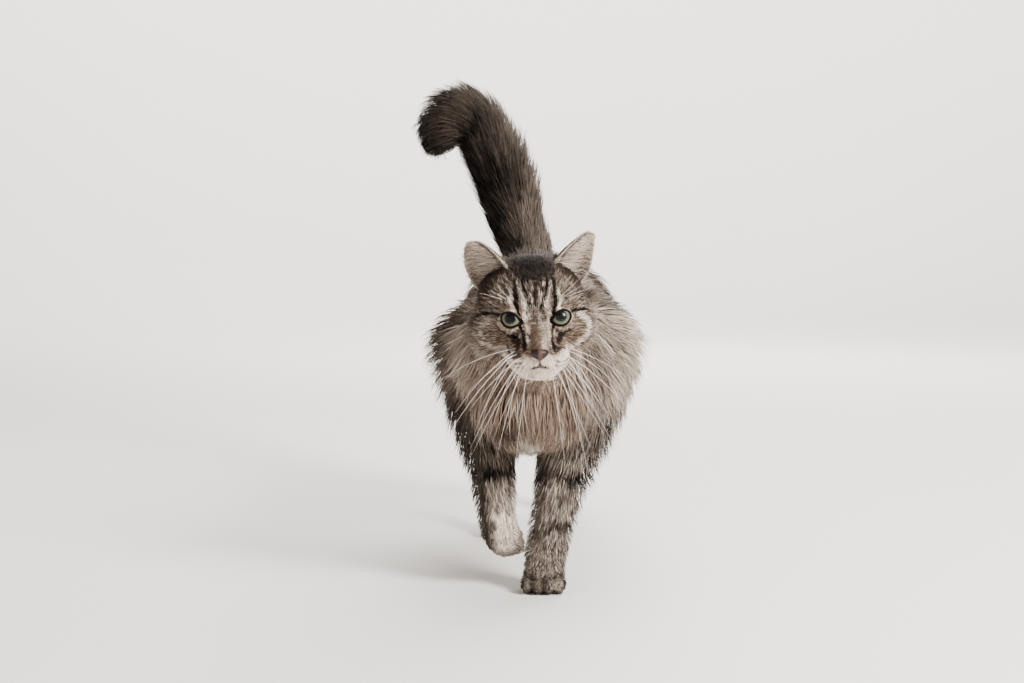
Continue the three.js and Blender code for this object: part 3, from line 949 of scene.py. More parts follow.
def head_markings(points):
    """Dark, warm, pale and ticked shares of the coat on the head."""
    local = to_head(points)
    way = local - SKULL_MIDDLE
    lon = np.degrees(np.arctan2(way[:, 0], -way[:, 1]))
    lat = np.degrees(np.arctan2(way[:, 2], np.hypot(way[:, 0], way[:, 1])))
    lon_lat = np.column_stack([lon, lat])
    lon, left = np.abs(lon), ease(-3, 5, lon)
    wobble = waves(local, 9, 3) * 0.9 + waves(local, 4, 4) * 0.5
    dark = drawn(lon_lat, DARK_STROKES, 1.0, wobble)
    pale = drawn(lon_lat, LIGHT_STROKES, 2.2, wobble)
    beside = ease(35, 70, lon) * ease(112, 96, lon)
    crown = ease(51, 69, lat + waves(local, 8, 5) * 6 + waves(local, 3.5, 8) * 7 - 3 * beside)
    dark = np.maximum(dark, crown * 0.95)
    dark = np.maximum(dark, 0.22 + 0.3 * ease(0.1, 0.6, waves(local, 7, 6)) * ease(20, 35, lat))
    bridge = ease(11, 6, lon) * ease(-14, -6, lat) * ease(36, 24, lat)
    # The bridge is darker on the cat's right and paler on its left: partly its own marking, partly painted
    # shade on the side away from the key light and painted light on the side towards it.
    dark = np.maximum(dark, bridge * (0.62 - 0.42 * left))
    pale = np.maximum(pale, bridge * 0.5 * left)
    muzzle = ease(-11.5, -15.5, lat + waves(local, 8, 7) * 1.5) * ease(44, 30, lon)
    chin = ease(-24, -30, lat) * ease(60, 40, lon)
    # The muzzle is less white on the cat's right: painted shade on the side away from the key light.
    white = np.maximum(muzzle * (0.72 + 0.28 * left), chin)
    pale = np.maximum(pale, white)
    dark = dark * (1 - ease(0.3, 0.8, pale) * ease(0.5, 0.3, dark))
    lips = np.minimum(to_line(local, LIP), to_line(local, mirrored(LIP)))
    dark = np.maximum(dark, 0.95 * ease(1.9, 0.8, np.minimum(lips, to_line(local, PHILTRUM))))
    warm = 0.15 + 0.25 * ease(10, -12, lat) * ease(90, 50, lon) + 0.2 * bridge
    warm = np.where(white > 0.5, 0.15, warm)
    edge = from_eyes(local)[0]
    rim = ease(2.1, 1.2, edge)
    low = ease(22, 14, lat)
    ring = ease(5.5, 3.0, edge) * (1 - dark) * (0.1 + 0.5 * low)
    pale = np.maximum(pale * (1 - rim), ring * (1 - rim))
    warm = np.maximum(warm, 0.8 * ease(5.5, 3.0, edge) * low)
    dark = np.maximum(dark, rim)
    plain = np.maximum(ease(0.3, 0.7, dark), ease(0.3, 0.8, pale))
    made = np.column_stack([dark, warm, pale * (1 - dark * 0.8), 0.75 - 0.65 * plain])
    return mix(made, ruff_markings(points), (ease(80, 100, lon) * (1 - crown))[:, None])


def ear_markings(points, ear_place):
    """Pinkish flesh in the hollow, darker towards the base on the outer side (painted shade deep in the
    hollow), and charcoal backs; the pale edges are partly pale hair and partly a painted rim highlight.
    """
    u, up, inner = ear_place.T
    # Pale edges: partly the ear's pale edge hair, partly a painted rim highlight from the light behind.
    rim = np.clip(ease(0.93, 0.99, np.abs(u)) + ease(0.95, 0.99, up), 0, 1)
    flesh = inner > 0
    # The flesh is darker towards the base of the hollow: painted shade deep in it.
    dark = np.where(flesh, 0.42 + 0.3 * ease(0.45, 0.1, up), 0.75)
    return np.column_stack([
        dark * (1 - 0.7 * rim), np.where(flesh, 0.9, 0.4), np.where(flesh, 0.35, 0.1) + 0.45 * rim,
        np.full(len(points), 0.1),
    ])


def spot(points, middle, size):
    return ease(1.25, 0.7, np.linalg.norm((points - np.array(middle, float)) / size, axis=1))


def trunk_markings(points):
    """Broken upright stripes that the long hair blurs, a dark back and a warm paler underside."""
    x, y, z = points.T
    blur = waves(points, 34, 11)
    stripe = np.sin((y + 0.35 * (z - 200)) * (2 * math.pi / 46) + blur * 1.6)
    dark = 0.28 + 0.5 * ease(0.0, 0.8, stripe)
    spine = ease(46, 16, np.abs(x + 3 + 0.016 * y)) * ease(225, 245, z)
    dark = np.maximum(dark, 0.78 * spine)
    low = ease(170, 130, z)
    dark = dark * (1 - 0.5 * low)
    warm = 0.3 + 0.45 * low + 0.15 * waves(points, 60, 12)
    return np.column_stack([dark, warm, 0.14 + 0.25 * low, np.full(len(x), 0.16)])


def ruff_markings(points):
    """Greyish brown, darker on the cat's right flank (painted shade) and paler towards its left (painted
    light), with a warm chest streaked with cream.
    """
    x, _, z = points.T
    streak = waves(points * [1, 1, 0.35], 13, 21)
    broad = waves(points, 40, 22)
    # The cat's right is darker: painted shade on the side turned from the key light.
    shaded_right_side = ease(-36, -66, x + 7 * streak)
    nape = ease(234, 252, z) * ease(66, 40, np.abs(x + 2))
    dark = 0.27 + 0.3 * broad + 0.5 * shaded_right_side
    dark = np.maximum(dark, 0.85 * nape)
    chest = ease(52, 24, np.abs(x + 3)) * ease(222, 190, z)
    warm = 0.38 + 0.36 * chest + 0.15 * broad
    # Paler towards the cat's left: painted light on the side towards the key light. The cream streaks fade
    # into the painted shade on the right.
    pale = 0.16 + 0.34 * ease(10, 60, x) + 0.34 * ease(0.2, 0.9, streak) * (1 - shaded_right_side)
    pale = pale * (1 - nape)
    pale = np.maximum(pale, 0.8 * spot(points, (-7, -30, 140), (13, 40, 14)))
    pale = np.maximum(pale, 0.45 * spot(points, (-52, -10, 212), (12, 40, 18)))
    dark = np.maximum(dark, 0.8 * spot(points, (-22, -40, 158), (14, 30, 9)))
    dark = np.maximum(dark, 0.75 * spot(points, (38, -20, 158), (10, 30, 9)))
    dark = np.maximum(dark, 0.75 * spot(points, (56, 10, 246), (16, 40, 12)))
    return np.column_stack([np.clip(dark, 0, 1), warm, np.clip(pale, 0, 1), np.full(len(x), 0.14)])


def bands(height, places, wobble):
    """Dark rings round a leg: each is its height, half its width and its strength."""
    dark = np.zeros(len(height))
    for middle, half, strength in places:
        dark = np.maximum(dark, strength * ease(half * 1.4, half * 0.4, np.abs(height + wobble - middle)))
    return dark


def leg_markings(points, name):
    x, y, z = points.T
    wobble = waves(points, 15, 31) * 3.5 + waves(points, 6, 32) * 2.5
    ticks = 0.5 + 0.5 * waves(points * [1, 1, 0.5], 5, 33)
    broken = 0.9 + 0.2 * waves(points, 14, 34)
    warm = np.full(len(x), 0.1)
    if name == "front_left":
        arch = 7 * ease(16, 0, np.abs(x - 14))
        dark = bands(z - arch, [(95, 7, 1.0), (50, 6, 0.85), (124, 7, 0.8), (28, 4, 0.5)], wobble) * broken
        inner = ease(4, -5, x - (z - 17) * 0.12) * ease(140, 120, z) * ease(26, 46, z)
        outer = ease(17, 24, x - (z - 40) * 0.17) * ease(20, 40, z)
        dark = np.maximum(dark, 0.62 * np.maximum(inner, outer))
        # The gaps between the toes are darker: painted shade in the creases.
        gaps = np.abs(np.sin((x - 4.5) * (math.pi / TOE_SHADE_SPACING))) ** 0.5
        toes = 0.97 - 0.3 * gaps
        dark = mix(dark, toes, ease(20, 14, z + 2 * ticks))
        dark = dark * (1 - 0.5 * spot(points, (16, -22, 10), (6, 9, 6)))
        pale = 0.3 + 0.2 * ticks
    elif name == "front_right":
        dark = bands(z, [(122, 7, 0.95), (101, 8, 1.0)], wobble) * broken
        outer = ease(-36, -45, x + (z - 60) * 0.12)
        dark = np.maximum(dark, 0.78 * outer)
        dark = np.maximum(dark, 0.7 * spot(points, (-42, -4, 58), (7, 20, 6)))
        height = z + 6 * waves(points, 8, 35)
        pale = 0.25 + (0.3 * ease(94, 80, height) + 0.35 * ease(76, 60, height)) * (1 - outer)
        dark = np.maximum(dark, 0.4 * ease(36, 30, z))
    else:
        dark = bands(z, [(150, 9, 0.7), (118, 7, 0.75), (92, 6, 0.75), (66, 5, 0.6)], wobble)
        heel = ease(-2, 6, y - (385 if name == "hind_left" else 282)) * ease(90, 80, z)
        dark = np.maximum(dark, 0.7 * heel)
        dark = np.maximum(dark, 0.85 * ease(13, 9, z))
        pale = 0.3 + 0.25 * ticks
        warm = 0.3 + 0.2 * ease(160, 190, z)
    white = ease(0.6, 0.8, pale)
    dark = np.maximum(dark, (0.26 + 0.28 * (1 - ticks)) * (1 - white))
    return np.column_stack([dark, warm, pale * (1 - dark * 0.6), 0.55 - 0.4 * white])


def tail_markings(points):
    """Charcoal, nearly black on the cat's right and underneath (painted shade), and greyer on its left and
    on top (painted light).
    """
    middles = np.array([row[:3] for row in TAIL], float)
    spine = along_curve(middles, 4)
    nearest = np.array([np.argmin(np.linalg.norm(spine - p, axis=1)) for p in points])
    towards_light = points[:, 0] - spine[nearest, 0] + 0.55 * (points[:, 2] - spine[nearest, 2])
    # Greyer towards the cat's left and upwards: painted light where the key and back lights reach, and
    # painted shade elsewhere.
    grey = ease(-6, 16, towards_light + 5 * waves(points, 18, 41))
    dark = 0.95 - 0.24 * grey + 0.07 * waves(points, 30, 42)
    warm = 0.12 + 0.12 * grey
    return np.column_stack([dark, warm, 0.1 + 0.1 * grey, np.full(len(points), 0.15)])


def markings(points, area, ear_place):
    """The tabby pattern anywhere on the cat, with some painted shade and light: dark, warm, pale and ticked
    shares, and the same for skin and coat."""
    made = np.zeros((len(points), 4))
    for number, name in enumerate(AREAS):
        here = area == number
        if not here.any():
            continue
        there = points[here]
        if name == "head":
            made[here] = head_markings(there)
        elif name == "ear":
            made[here] = ear_markings(there, ear_place[here])
        elif name == "neck":
            made[here] = ruff_markings(there)
        elif name == "trunk":
            front = ease(70, 40, there[:, 1])[:, None]
            made[here] = mix(trunk_markings(there), ruff_markings(there), front)
        elif name == "tail":
            made[here] = tail_markings(there)
        else:
            high = ease(140, 175, there[:, 2])[:, None]
            upper = ruff_markings(there) if name.startswith("front") else trunk_markings(there)
            made[here] = mix(leg_markings(there, name), upper, high)
    return np.clip(made, 0, 1)


# --- locks of fur -------------------------------------------------------------------------------------

PATCH = 0.003  # of the width of a coat piece's map, for each lock
FOLLOW = 0.35  # how far each joint of a lock turns to the lie of the coat there
LEAST_DEPTH = 0.6  # of the coat
FLOOR_GAP = 0.6  # no lock comes closer to the floor

# How the coat grows where nothing else is said.
# joints: points along a lock. lift: how much of the coat's depth the tips reach, from and to. rise: below 1
# a lock stands up early. long: times the length of the hair there. hug: 1 follows the skin, 0 is straight.
# stray: how far locks turn from the lie, in radians. clump: size of a clump. crowd: locks to a clump.
# gather: how far tips are drawn to their clump. curl: sideways. under: share of short locks of the undercoat.
# tick: how much locks differ in tone where the coat is ticked.
PLAIN = {
    "joints": 5, "rise": 0.75, "long": 1, "hug": 0.8, "clump": 12, "crowd": 14, "gather": 0.3, "curl": 0.0,
    "under": 0.25, "tick": 1.0,
}
FACE = PLAIN | {
    "joints": 4, "lift": (0.35, 1.0), "stray": 0.16, "rise": 0.8, "gather": 0.35, "clump": 3, "crowd": 10,
    "hug": 0.85,
}
CROWN = FACE | {"clump": 6, "gather": 0.45, "stray": 0.24, "long": 1.15, "hug": 0.35, "lift": (0.5, 1.5)}
EAR = PLAIN | {
    "joints": 4, "lift": (0.5, 1.0), "stray": 0.2, "rise": 0.9, "gather": 0.2, "clump": 3, "hug": 1.0,
    "long": 0.75,
}
RUFF = PLAIN | {
    "lift": (0.72, 1.15), "stray": 0.24, "gather": 0.55, "clump": 14, "curl": 1.2, "hug": 0.6, "long": 1.15,
}
FLANK = PLAIN | {
    "lift": (0.72, 1.12), "stray": 0.22, "gather": 0.55, "clump": 16, "curl": 1.0, "hug": 0.7, "long": 1.12,
}
LEG = PLAIN | {
    "joints": 4, "lift": (0.75, 1.15), "stray": 0.2, "rise": 0.7, "gather": 0.4, "clump": 6, "crowd": 10,
    "hug": 0.75,
}
PLUME = PLAIN | {
    "lift": (0.8, 1.2), "stray": 0.2, "rise": 0.8, "gather": 0.5, "curl": 0.8, "under": 0.2, "hug": 0.3,
    "tick": 0.5,
}


class Hide:
    """The finished skin, ready for hair to be rooted in it."""

    def __init__(self, skin):
        self.skin = skin
        self.points = points_of(skin)
        self.faces = triangles_of(skin)
        self.normals = normals_of(skin)
        self.area = read(skin, "area")
        self.lie = read(skin, "lie")
        self.length = read(skin, "hair_length")
        self.depth = read(skin, "coat_depth")
        self.ear_place = read(skin, "ear_place")
        self.tree = BVHTree.FromPolygons(self.points.tolist(), self.faces.tolist())
        a, b, c = (self.points[self.faces[:, i]] for i in range(3))
        self.size = np.linalg.norm(np.cross(b - a, c - a), axis=1) / 2

    def settle(self, points):
        """The nearest place on the skin to each point, and its face."""
        found = [self.tree.find_nearest(p) for p in points]
        return np.array([f[0] for f in found]), np.array([f[2] for f in found])

    def at(self, values, face):
        return values[self.faces[face]].mean(axis=1)


def hair_roots(hide, weight, count, rng):
    """Places for roots, by chance and as dense as the weight of each point of the skin says."""
    share = hide.size * weight[hide.faces].mean(axis=1)
    face = rng.choice(len(hide.faces), size=count, p=share / share.sum())
    a, b = rng.random((2, count))
    turn = a + b > 1
    a, b = np.where(turn, 1 - a, a), np.where(turn, 1 - b, b)
    corner = np.column_stack([1 - a - b, a, b])
    return face, corner, (hide.points[hide.faces[face]] * corner[..., None]).sum(1)


def patch_middles(hide, face, corner):
    """Where each root lies on an unwrap of the part of the skin that the coat piece grows from."""
    used = np.unique(hide.faces[np.unique(face)])
    wanted = np.zeros(len(hide.points), bool)
    wanted[used] = True
    faces = np.flatnonzero(wanted[hide.faces].all(axis=1))
    compact = np.cumsum(wanted) - 1
    obj = mesh_of("unwrap", hide.points[wanted], compact[hide.faces[faces]])
    choose(obj)
    bpy.ops.object.mode_set(mode="EDIT")
    bpy.ops.mesh.select_all(action="SELECT")
    bpy.ops.uv.smart_project(angle_limit=math.radians(60), island_margin=0.002)
    bpy.ops.object.mode_set(mode="OBJECT")
    flat = np.empty(len(faces) * 6, np.float32)
    obj.data.uv_layers.active.data.foreach_get("uv", flat)
    row = np.full(len(hide.faces), -1)
    row[faces] = np.arange(len(faces))
    uv = flat.reshape(-1, 3, 2)[row[face]]
    bpy.data.objects.remove(obj)
    return (uv * corner[..., None]).sum(1) * (1 - 2 * PATCH) + PATCH


def lock_paths(hide, face, root, style, rng):
    """Lines that the locks follow: along the skin, and up from it towards the tips of the coat."""
    joints = style["joints"]
    count = len(root)
    normal = unit(hide.at(hide.normals, face))
    lie = hide.at(hide.lie, face)
    long = hide.at(hide.length, face) * style["long"] * rng.uniform(0.7, 1.15, count)
    swell = 1 + 0.22 * waves(root, style["clump"] * 3, 51)
    tall = np.maximum(hide.at(hide.depth, face), LEAST_DEPTH) * rng.uniform(*style["lift"], count) * swell
    inner = rng.random(count) < style["under"]
    tall = np.minimum(np.where(inner, tall * 0.45, tall), long * 0.85)
    reach = np.sqrt(np.maximum(long**2 - tall**2, 0.2 * long**2))
    stray = rng.normal(0, style["stray"], count)
    side = np.cross(normal, lie)
    way = unit(lie * np.cos(stray)[:, None] + side * np.sin(stray)[:, None])
    foot, at_face, first = root, face, way
    path = [root - normal * 0.4]
    for joint in range(1, joints):
        foot, at_face = hide.settle(foot + way * (reach / (joints - 1))[:, None])
        up = unit(hide.at(hide.normals, at_face))
        level = on_surface(way, up)
        way = unit(mix(level, hide.at(hide.lie, at_face), FOLLOW))
        share = joint / (joints - 1)
        rise = (tall * share ** style["rise"])[:, None]
        straight = root + first * (reach * share)[:, None] + normal * rise
        path.append(mix(straight, foot + up * rise, style["hug"]))
        if joint == joints // 2:
            middle, middle_face = foot, at_face
    path = np.stack(path, 1)
    leaders = rng.choice(count, size=max(count // style["crowd"], 1), replace=False)
    tree = KDTree(len(leaders))
    for leader in leaders:
        tree.insert(root[leader], int(leader))
    tree.balance()
    led_by = np.array([tree.find(p)[1] for p in root])
    pull = style["gather"] * rng.uniform(0.5, 1, count)
    wave_side = side * np.sin(rng.uniform(0, 6.28, count))[:, None]
    for joint in range(1, joints):
        share = joint / (joints - 1)
        shift = (path[led_by, joint] - path[:, joint]) * (pull * share**1.4)[:, None]
        most = style["clump"] * 0.8
        far = np.maximum(np.linalg.norm(shift, axis=1), 1e-6)
        path[:, joint] += shift * np.minimum(1, most / far)[:, None]
        path[:, joint] += wave_side * style["curl"] * math.sin(share * 4.5)
    return path, normal, middle, middle_face, led_by


def lock_mesh(name, path, normal, wide, rng):
    """Flattened pointed locks: a root point, rings of three points, and a tip."""
    count, joints = path.shape[:2]
    along = unit(np.gradient(path, axis=1))
    turn = rng.normal(0, 0.5, count)
    side = unit(np.cross(normal[:, None], along))
    up = np.cross(along, side)
    cos, sin = np.cos(turn)[:, None, None], np.sin(turn)[:, None, None]
    side, up = side * cos + up * sin, up * cos - side * sin
    rings = joints - 2
    shape = np.interp(np.arange(1, joints - 1) / (joints - 1), [0, 0.3, 0.7, 1], [0.6, 1.0, 0.72, 0.1])
    half = wide[:, None] * shape[None] / 2
    middles = path[:, 1:-1]
    left = middles - side[:, 1:-1] * half[..., None]
    right = middles + side[:, 1:-1] * half[..., None]
    ridge = middles + up[:, 1:-1] * (half * 0.55)[..., None]
    ring = np.stack([left, ridge, right], 2).reshape(count, rings * 3, 3)
    points = np.concatenate([path[:, :1], ring, path[:, -1:]], 1)
    tip = rings * 3 + 1
    faces = [(0, 2, 1), (0, 3, 2), (0, 1, 3)]
    for r in range(rings - 1):
        for a, b in ((1, 2), (2, 3), (3, 1)):
            a, b = a + 3 * r, b + 3 * r
            faces += [(a, b, b + 3), (a, b + 3, a + 3)]
    last = 3 * (rings - 1)
    faces += [(1 + last, 2 + last, tip), (2 + last, 3 + last, tip), (3 + last, 1 + last, tip)]
    size = points.shape[1]
    all_faces = (np.array(faces)[None] + np.arange(count)[:, None, None] * size).reshape(-1, 3)
    obj = mesh_of(name, points.reshape(-1, 3), all_faces)
    up_lock = [0.0] + [(r + 1) / (joints - 1) for r in range(rings) for _ in range(3)] + [1.0]
    across = [0.0] + [-1.0, 0.0, 1.0] * rings + [0.0]
    return obj, (np.array(up_lock), np.array(across))


def finish_locks(obj, shape, marking, shade, patch):
    """Gives each lock its markings, and its own small patch of the piece's map."""
    up_lock, across = shape
    size, count = len(up_lock), len(shade)
    write(obj, "marking", np.repeat(marking, size, axis=0))
    strand = [np.tile(up_lock, count), np.tile(across, count), np.repeat(shade, size)]
    write(obj, "strand", np.column_stack(strand))
    offset = np.column_stack([across, up_lock * 2 - 1]) * PATCH / 2
    by_point = (patch[:, None] + offset[None]).reshape(-1, 2)
    corners = np.empty(len(obj.data.loops), np.int32)
    obj.data.loops.foreach_get("vertex_index", corners)
    layer = obj.data.uv_layers.new(name="OFBake")
    layer.data.foreach_set("uv", by_point[corners].astype(np.float32).ravel())


def grow(name, hide, weight, style, count, width, material, slot, seed):
    """Grows one piece of the coat, of so many locks this wide, where the weight of the skin is over 0."""
    rng = np.random.default_rng(seed)
    face, corner, root = hair_roots(hide, weight, count, rng)
    path, normal, middle, middle_face, led_by = lock_paths(hide, face, root, style, rng)
    path[..., 2] = np.maximum(path[..., 2], FLOOR_GAP)
    wide = width * rng.uniform(0.7, 1.2, len(root))
    obj, shape = lock_mesh(name, path, normal, wide, rng)
    nearest = hide.faces[middle_face][:, 0]
    marking = markings(middle, hide.area[nearest], hide.ear_place[nearest])
    # In ticked hair some locks are nearly black and some nearly cream.
    lot, tick = rng.random(len(root)), marking[:, 3] * style["tick"]
    tick = tick * (1 - 0.8 * ease(0.45, 0.85, marking[:, 0]))
    marking[:, 0] += tick * 0.62 * (lot < 0.3)
    marking[:, 2] += tick * 0.5 * (lot > 0.72) * (1 - marking[:, 0])
    marking[:, 0] *= 1 - tick * 0.55 * (lot > 0.72)
    gather = rng.random(len(root))
    shade = 0.5 * gather[led_by] + 0.5 * rng.random(len(root))
    finish_locks(obj, shape, np.clip(marking, 0, 1), shade, patch_middles(hide, face, corner))
    place(obj, material, slot)
    return obj


# --- materials ----------------------------------------------------------------------------------------


def colour(code):
    """An sRGB hex value as linear red, green, blue and alpha."""
    parts = [int(code[i : i + 2], 16) / 255 for i in (1, 3, 5)]
    return tuple(c / 12.92 if c <= 0.04045 else ((c + 0.055) / 1.055) ** 2.4 for c in parts) + (1.0,)


def node(tree, kind, inputs=None, **settings):
    """Adds a shader node with these properties and gives its outputs. Each of its inputs, by name or by
    number, is linked to a socket or set to a value."""
    made = tree.nodes.new(kind)
    for name, value in settings.items():
        setattr(made, name, value)
    for key, value in (inputs or {}).items():
        if isinstance(value, bpy.types.NodeSocket):
            tree.links.new(value, made.inputs[key])
        else:
            made.inputs[key].default_value = value
    return made.outputs


def new_material(name, **settings):
    """A material with one Principled shader, which gets these input values."""
    material = bpy.data.materials.new(name)
    material.use_nodes = True
    tree = material.node_tree
    tree.nodes.clear()
    inputs = {key.replace("_", " "): value for key, value in settings.items()}
    surface = node(tree, "ShaderNodeBsdfPrincipled", inputs)[0]
    node(tree, "ShaderNodeOutputMaterial", {"Surface": surface})
    return material, tree, surface.node


def fur_material(name, colours, undercoat_and_shade, gloss):
    """Cat hair: keratin, IOR 1.55, with little gloss because hairs lie at many angles. Each hair is banded
    (agouti): slate at the root, paler in the middle and dark at the tip. The slate at the root is partly the
    undercoat and partly painted shade deep in the coat."""
    material, tree, shader = new_material(name, IOR=1.55, Roughness=gloss, Specular_IOR_Level=0.06)
    marks = node(tree, "ShaderNodeAttribute", attribute_name="marking")
    dark, warm, pale = node(tree, "ShaderNodeSeparateColor", {"Color": marks["Color"]})
    strand = node(tree, "ShaderNodeAttribute", attribute_name="strand")["Vector"]
    along, _, chance = node(tree, "ShaderNodeSeparateXYZ", {"Vector": strand})
    # Single hairs are 0.05 mm wide, too fine to show: the streaks are about 0.2 mm.
    spread = node(tree, "ShaderNodeVectorMath", {0: strand, 1: (1.6, 2.2, 90.0)}, operation="MULTIPLY")[0]
    hairs = node(
        tree, "ShaderNodeTexNoise", {"Vector": spread, "Scale": 1.7, "Detail": 2.0, "Roughness": 0.6}
    )[0]
    place_in = node(tree, "ShaderNodeTexCoord")["Object"]
    # Tufts of hair differ over about 12 mm.
    patchy = node(tree, "ShaderNodeTexNoise", {"Vector": place_in, "Scale": 85.0, "Detail": 3.0})[0]
    ground = node(
        tree, "ShaderNodeMix", {0: warm, 6: colours["grey"], 7: colours["warm"]}, data_type="RGBA"
    )[2]
    ground = node(tree, "ShaderNodeMix", {0: pale, 6: ground, 7: colours["cream"]}, data_type="RGBA")[2]
    light = node(tree, "ShaderNodeMath", {0: patchy, 1: 0.9, 2: 0.22}, operation="MULTIPLY_ADD")[0]
    light = node(tree, "ShaderNodeMath", {0: chance, 1: 0.75, 2: light}, operation="MULTIPLY_ADD")[0]
    ground = node(tree, "ShaderNodeHueSaturation", {"Value": light, "Color": ground})[0]
    # Dark marks: some hairs in a stripe are lighter than others.
    uneven = node(tree, "ShaderNodeMath", {0: chance, 1: 0.3, 2: -0.15}, operation="MULTIPLY_ADD")[0]
    stripe = node(tree, "ShaderNodeMath", {0: dark, 1: uneven}, operation="ADD", use_clamp=True)[0]
    coat = node(tree, "ShaderNodeMix", {0: stripe, 6: ground, 7: colours["charcoal"]}, data_type="RGBA")[2]
    # The lowest third of a lock is slate: partly the undercoat, partly painted shade deep in the coat.
    root = node(
        tree, "ShaderNodeMapRange", {"Value": along, "From Max": 0.38, "To Min": undercoat_and_shade, "To Max": 0.0}
    )[0]
    coat = node(tree, "ShaderNodeMix", {0: root, 6: coat, 7: colours["slate"]}, data_type="RGBA")[2]
    # The last third of a ticked hair is dark.
    tip = node(tree, "ShaderNodeMapRange", {"Value": along, "From Min": 0.66, "From Max": 0.9})[0]
    tip = node(tree, "ShaderNodeMath", {0: tip, 1: marks["Alpha"]}, operation="MULTIPLY")[0]
    kept = node(tree, "ShaderNodeMapRange", {"Value": pale, "To Min": 0.62, "To Max": 0.0})[0]
    tip = node(tree, "ShaderNodeMath", {0: tip, 1: kept}, operation="MULTIPLY")[0]
    coat = node(tree, "ShaderNodeMix", {0: tip, 6: coat, 7: colours["charcoal"]}, data_type="RGBA")[2]
    streak = node(tree, "ShaderNodeMath", {0: hairs, 1: 1.3, 2: 0.35}, operation="MULTIPLY_ADD")[0]
    coat = node(tree, "ShaderNodeHueSaturation", {"Value": streak, "Color": coat})[0]
    tree.links.new(coat, shader.inputs["Base Color"])
    bump = node(tree, "ShaderNodeBump", {"Height": hairs, "Strength": 0.5, "Distance": 0.0003})[0]
    tree.links.new(bump, shader.inputs["Normal"])
    return material


def eye_material(colours):
    """A living eye: wet and clear over a pale sage iris with darker threads, round a wide round pupil.
    The wet surface is a smooth clear coat; IOR 1.376, the cornea's."""
    material, tree, shader = new_material(
        "wet_eye", IOR=1.376, Roughness=0.3, Specular_IOR_Level=0.1, Coat_Weight=0.55, Coat_Roughness=0.015,
        Coat_IOR=1.376
    )
    gaze = node(tree, "ShaderNodeAttribute", attribute_name="gaze")["Vector"]
    off = node(tree, "ShaderNodeSeparateXYZ", {"Vector": gaze})[0]
    # Threads of the iris are about 0.15 mm wide and run outwards from the pupil.
    rolled = node(tree, "ShaderNodeVectorMath", {0: gaze, 1: (0.12, 1.0, 1.0)}, operation="MULTIPLY")[0]
    threads = node(tree, "ShaderNodeTexNoise", {"Vector": rolled, "Scale": 14.0, "Detail": 4.0})[0]
    # The iris reaches 45 degrees from the middle of the gaze, the pupil 21.
    turned = node(tree, "ShaderNodeMath", {0: off, 1: 60.0}, operation="DIVIDE")[0]
    ramp = node(tree, "ShaderNodeValToRGB", {"Fac": turned})[0]
    stops = ramp.node.color_ramp.elements
    stops[0].color = stops[1].color = colours["pupil"]
    stops[1].position = 0.86
    for position, key in ((0.355, "pupil"), (0.39, "iris_inner"), (0.56, "iris"), (0.74, "iris_edge")):
        stops.new(position).color = colours[key]
    depth = node(tree, "ShaderNodeMath", {0: threads, 1: 0.9, 2: 0.55}, operation="MULTIPLY_ADD")[0]
    iris = node(tree, "ShaderNodeHueSaturation", {"Value": depth, "Color": ramp})[0]
    tree.links.new(iris, shader.inputs["Base Color"])
    bump = node(tree, "ShaderNodeBump", {"Height": threads, "Strength": 0.25, "Distance": 0.0002})[0]
    tree.links.new(bump, shader.inputs["Normal"])
    return material


def leather_material(name, main, dark, crevice_shade):
    """Bare nose or pad skin: moist and finely pebbled. IOR 1.4; the pebbles are about 0.4 mm."""
    material, tree, shader = new_material(name, IOR=1.4, Roughness=0.42, Specular_IOR_Level=0.45)
    place_in = node(tree, "ShaderNodeTexCoord")["Object"]
    pebbles = node(
        tree, "ShaderNodeTexVoronoi", {"Vector": place_in, "Scale": 2300.0}, feature="SMOOTH_F1"
    )["Distance"]
    shade = node(tree, "ShaderNodeAttribute", attribute_name="shade")["Fac"]
    cloud = node(tree, "ShaderNodeTexNoise", {"Vector": place_in, "Scale": 420.0, "Detail": 3.0})[0]
    spotty = node(tree, "ShaderNodeMath", {0: cloud, 1: 0.7, 2: -0.3}, operation="MULTIPLY_ADD")[0]
    share = node(tree, "ShaderNodeMath", {0: shade, 1: spotty}, operation="ADD", use_clamp=True)[0]
    skin = node(tree, "ShaderNodeMix", {0: share, 6: main, 7: dark}, data_type="RGBA")[2]
    # The crevices between the pebbles are darker: painted shade.
    crevice_shading = node(tree, "ShaderNodeMath", {0: pebbles, 1: crevice_shade}, operation="MULTIPLY")[0]
    skin = node(tree, "ShaderNodeMix", {0: crevice_shading, 6: skin, 7: dark}, data_type="RGBA")[2]
    tree.links.new(skin, shader.inputs["Base Color"])
    bump = node(
        tree, "ShaderNodeBump", {"Height": pebbles, "Strength": 0.55, "Distance": 0.0002}, invert=True
    )[0]
    tree.links.new(bump, shader.inputs["Normal"])
    return material


def whisker_material(colours):
    """A whisker: one stiff, smooth, nearly white hair. IOR 1.55 and glossier than the coat."""
    material, tree, shader = new_material("white_whisker", IOR=1.55, Roughness=0.3)
    up = node(tree, "ShaderNodeAttribute", attribute_name="shade")["Fac"]
    faint = node(tree, "ShaderNodeTexNoise", {"Scale": 600.0, "Detail": 2.0})[0]
    tone = node(tree, "ShaderNodeMath", {0: faint, 1: up}, operation="MULTIPLY")[0]
    hair = node(
        tree, "ShaderNodeMix", {0: tone, 6: colours["whisker"], 7: colours["cream"]}, data_type="RGBA"
    )[2]
    tree.links.new(hair, shader.inputs["Base Color"])
    return material


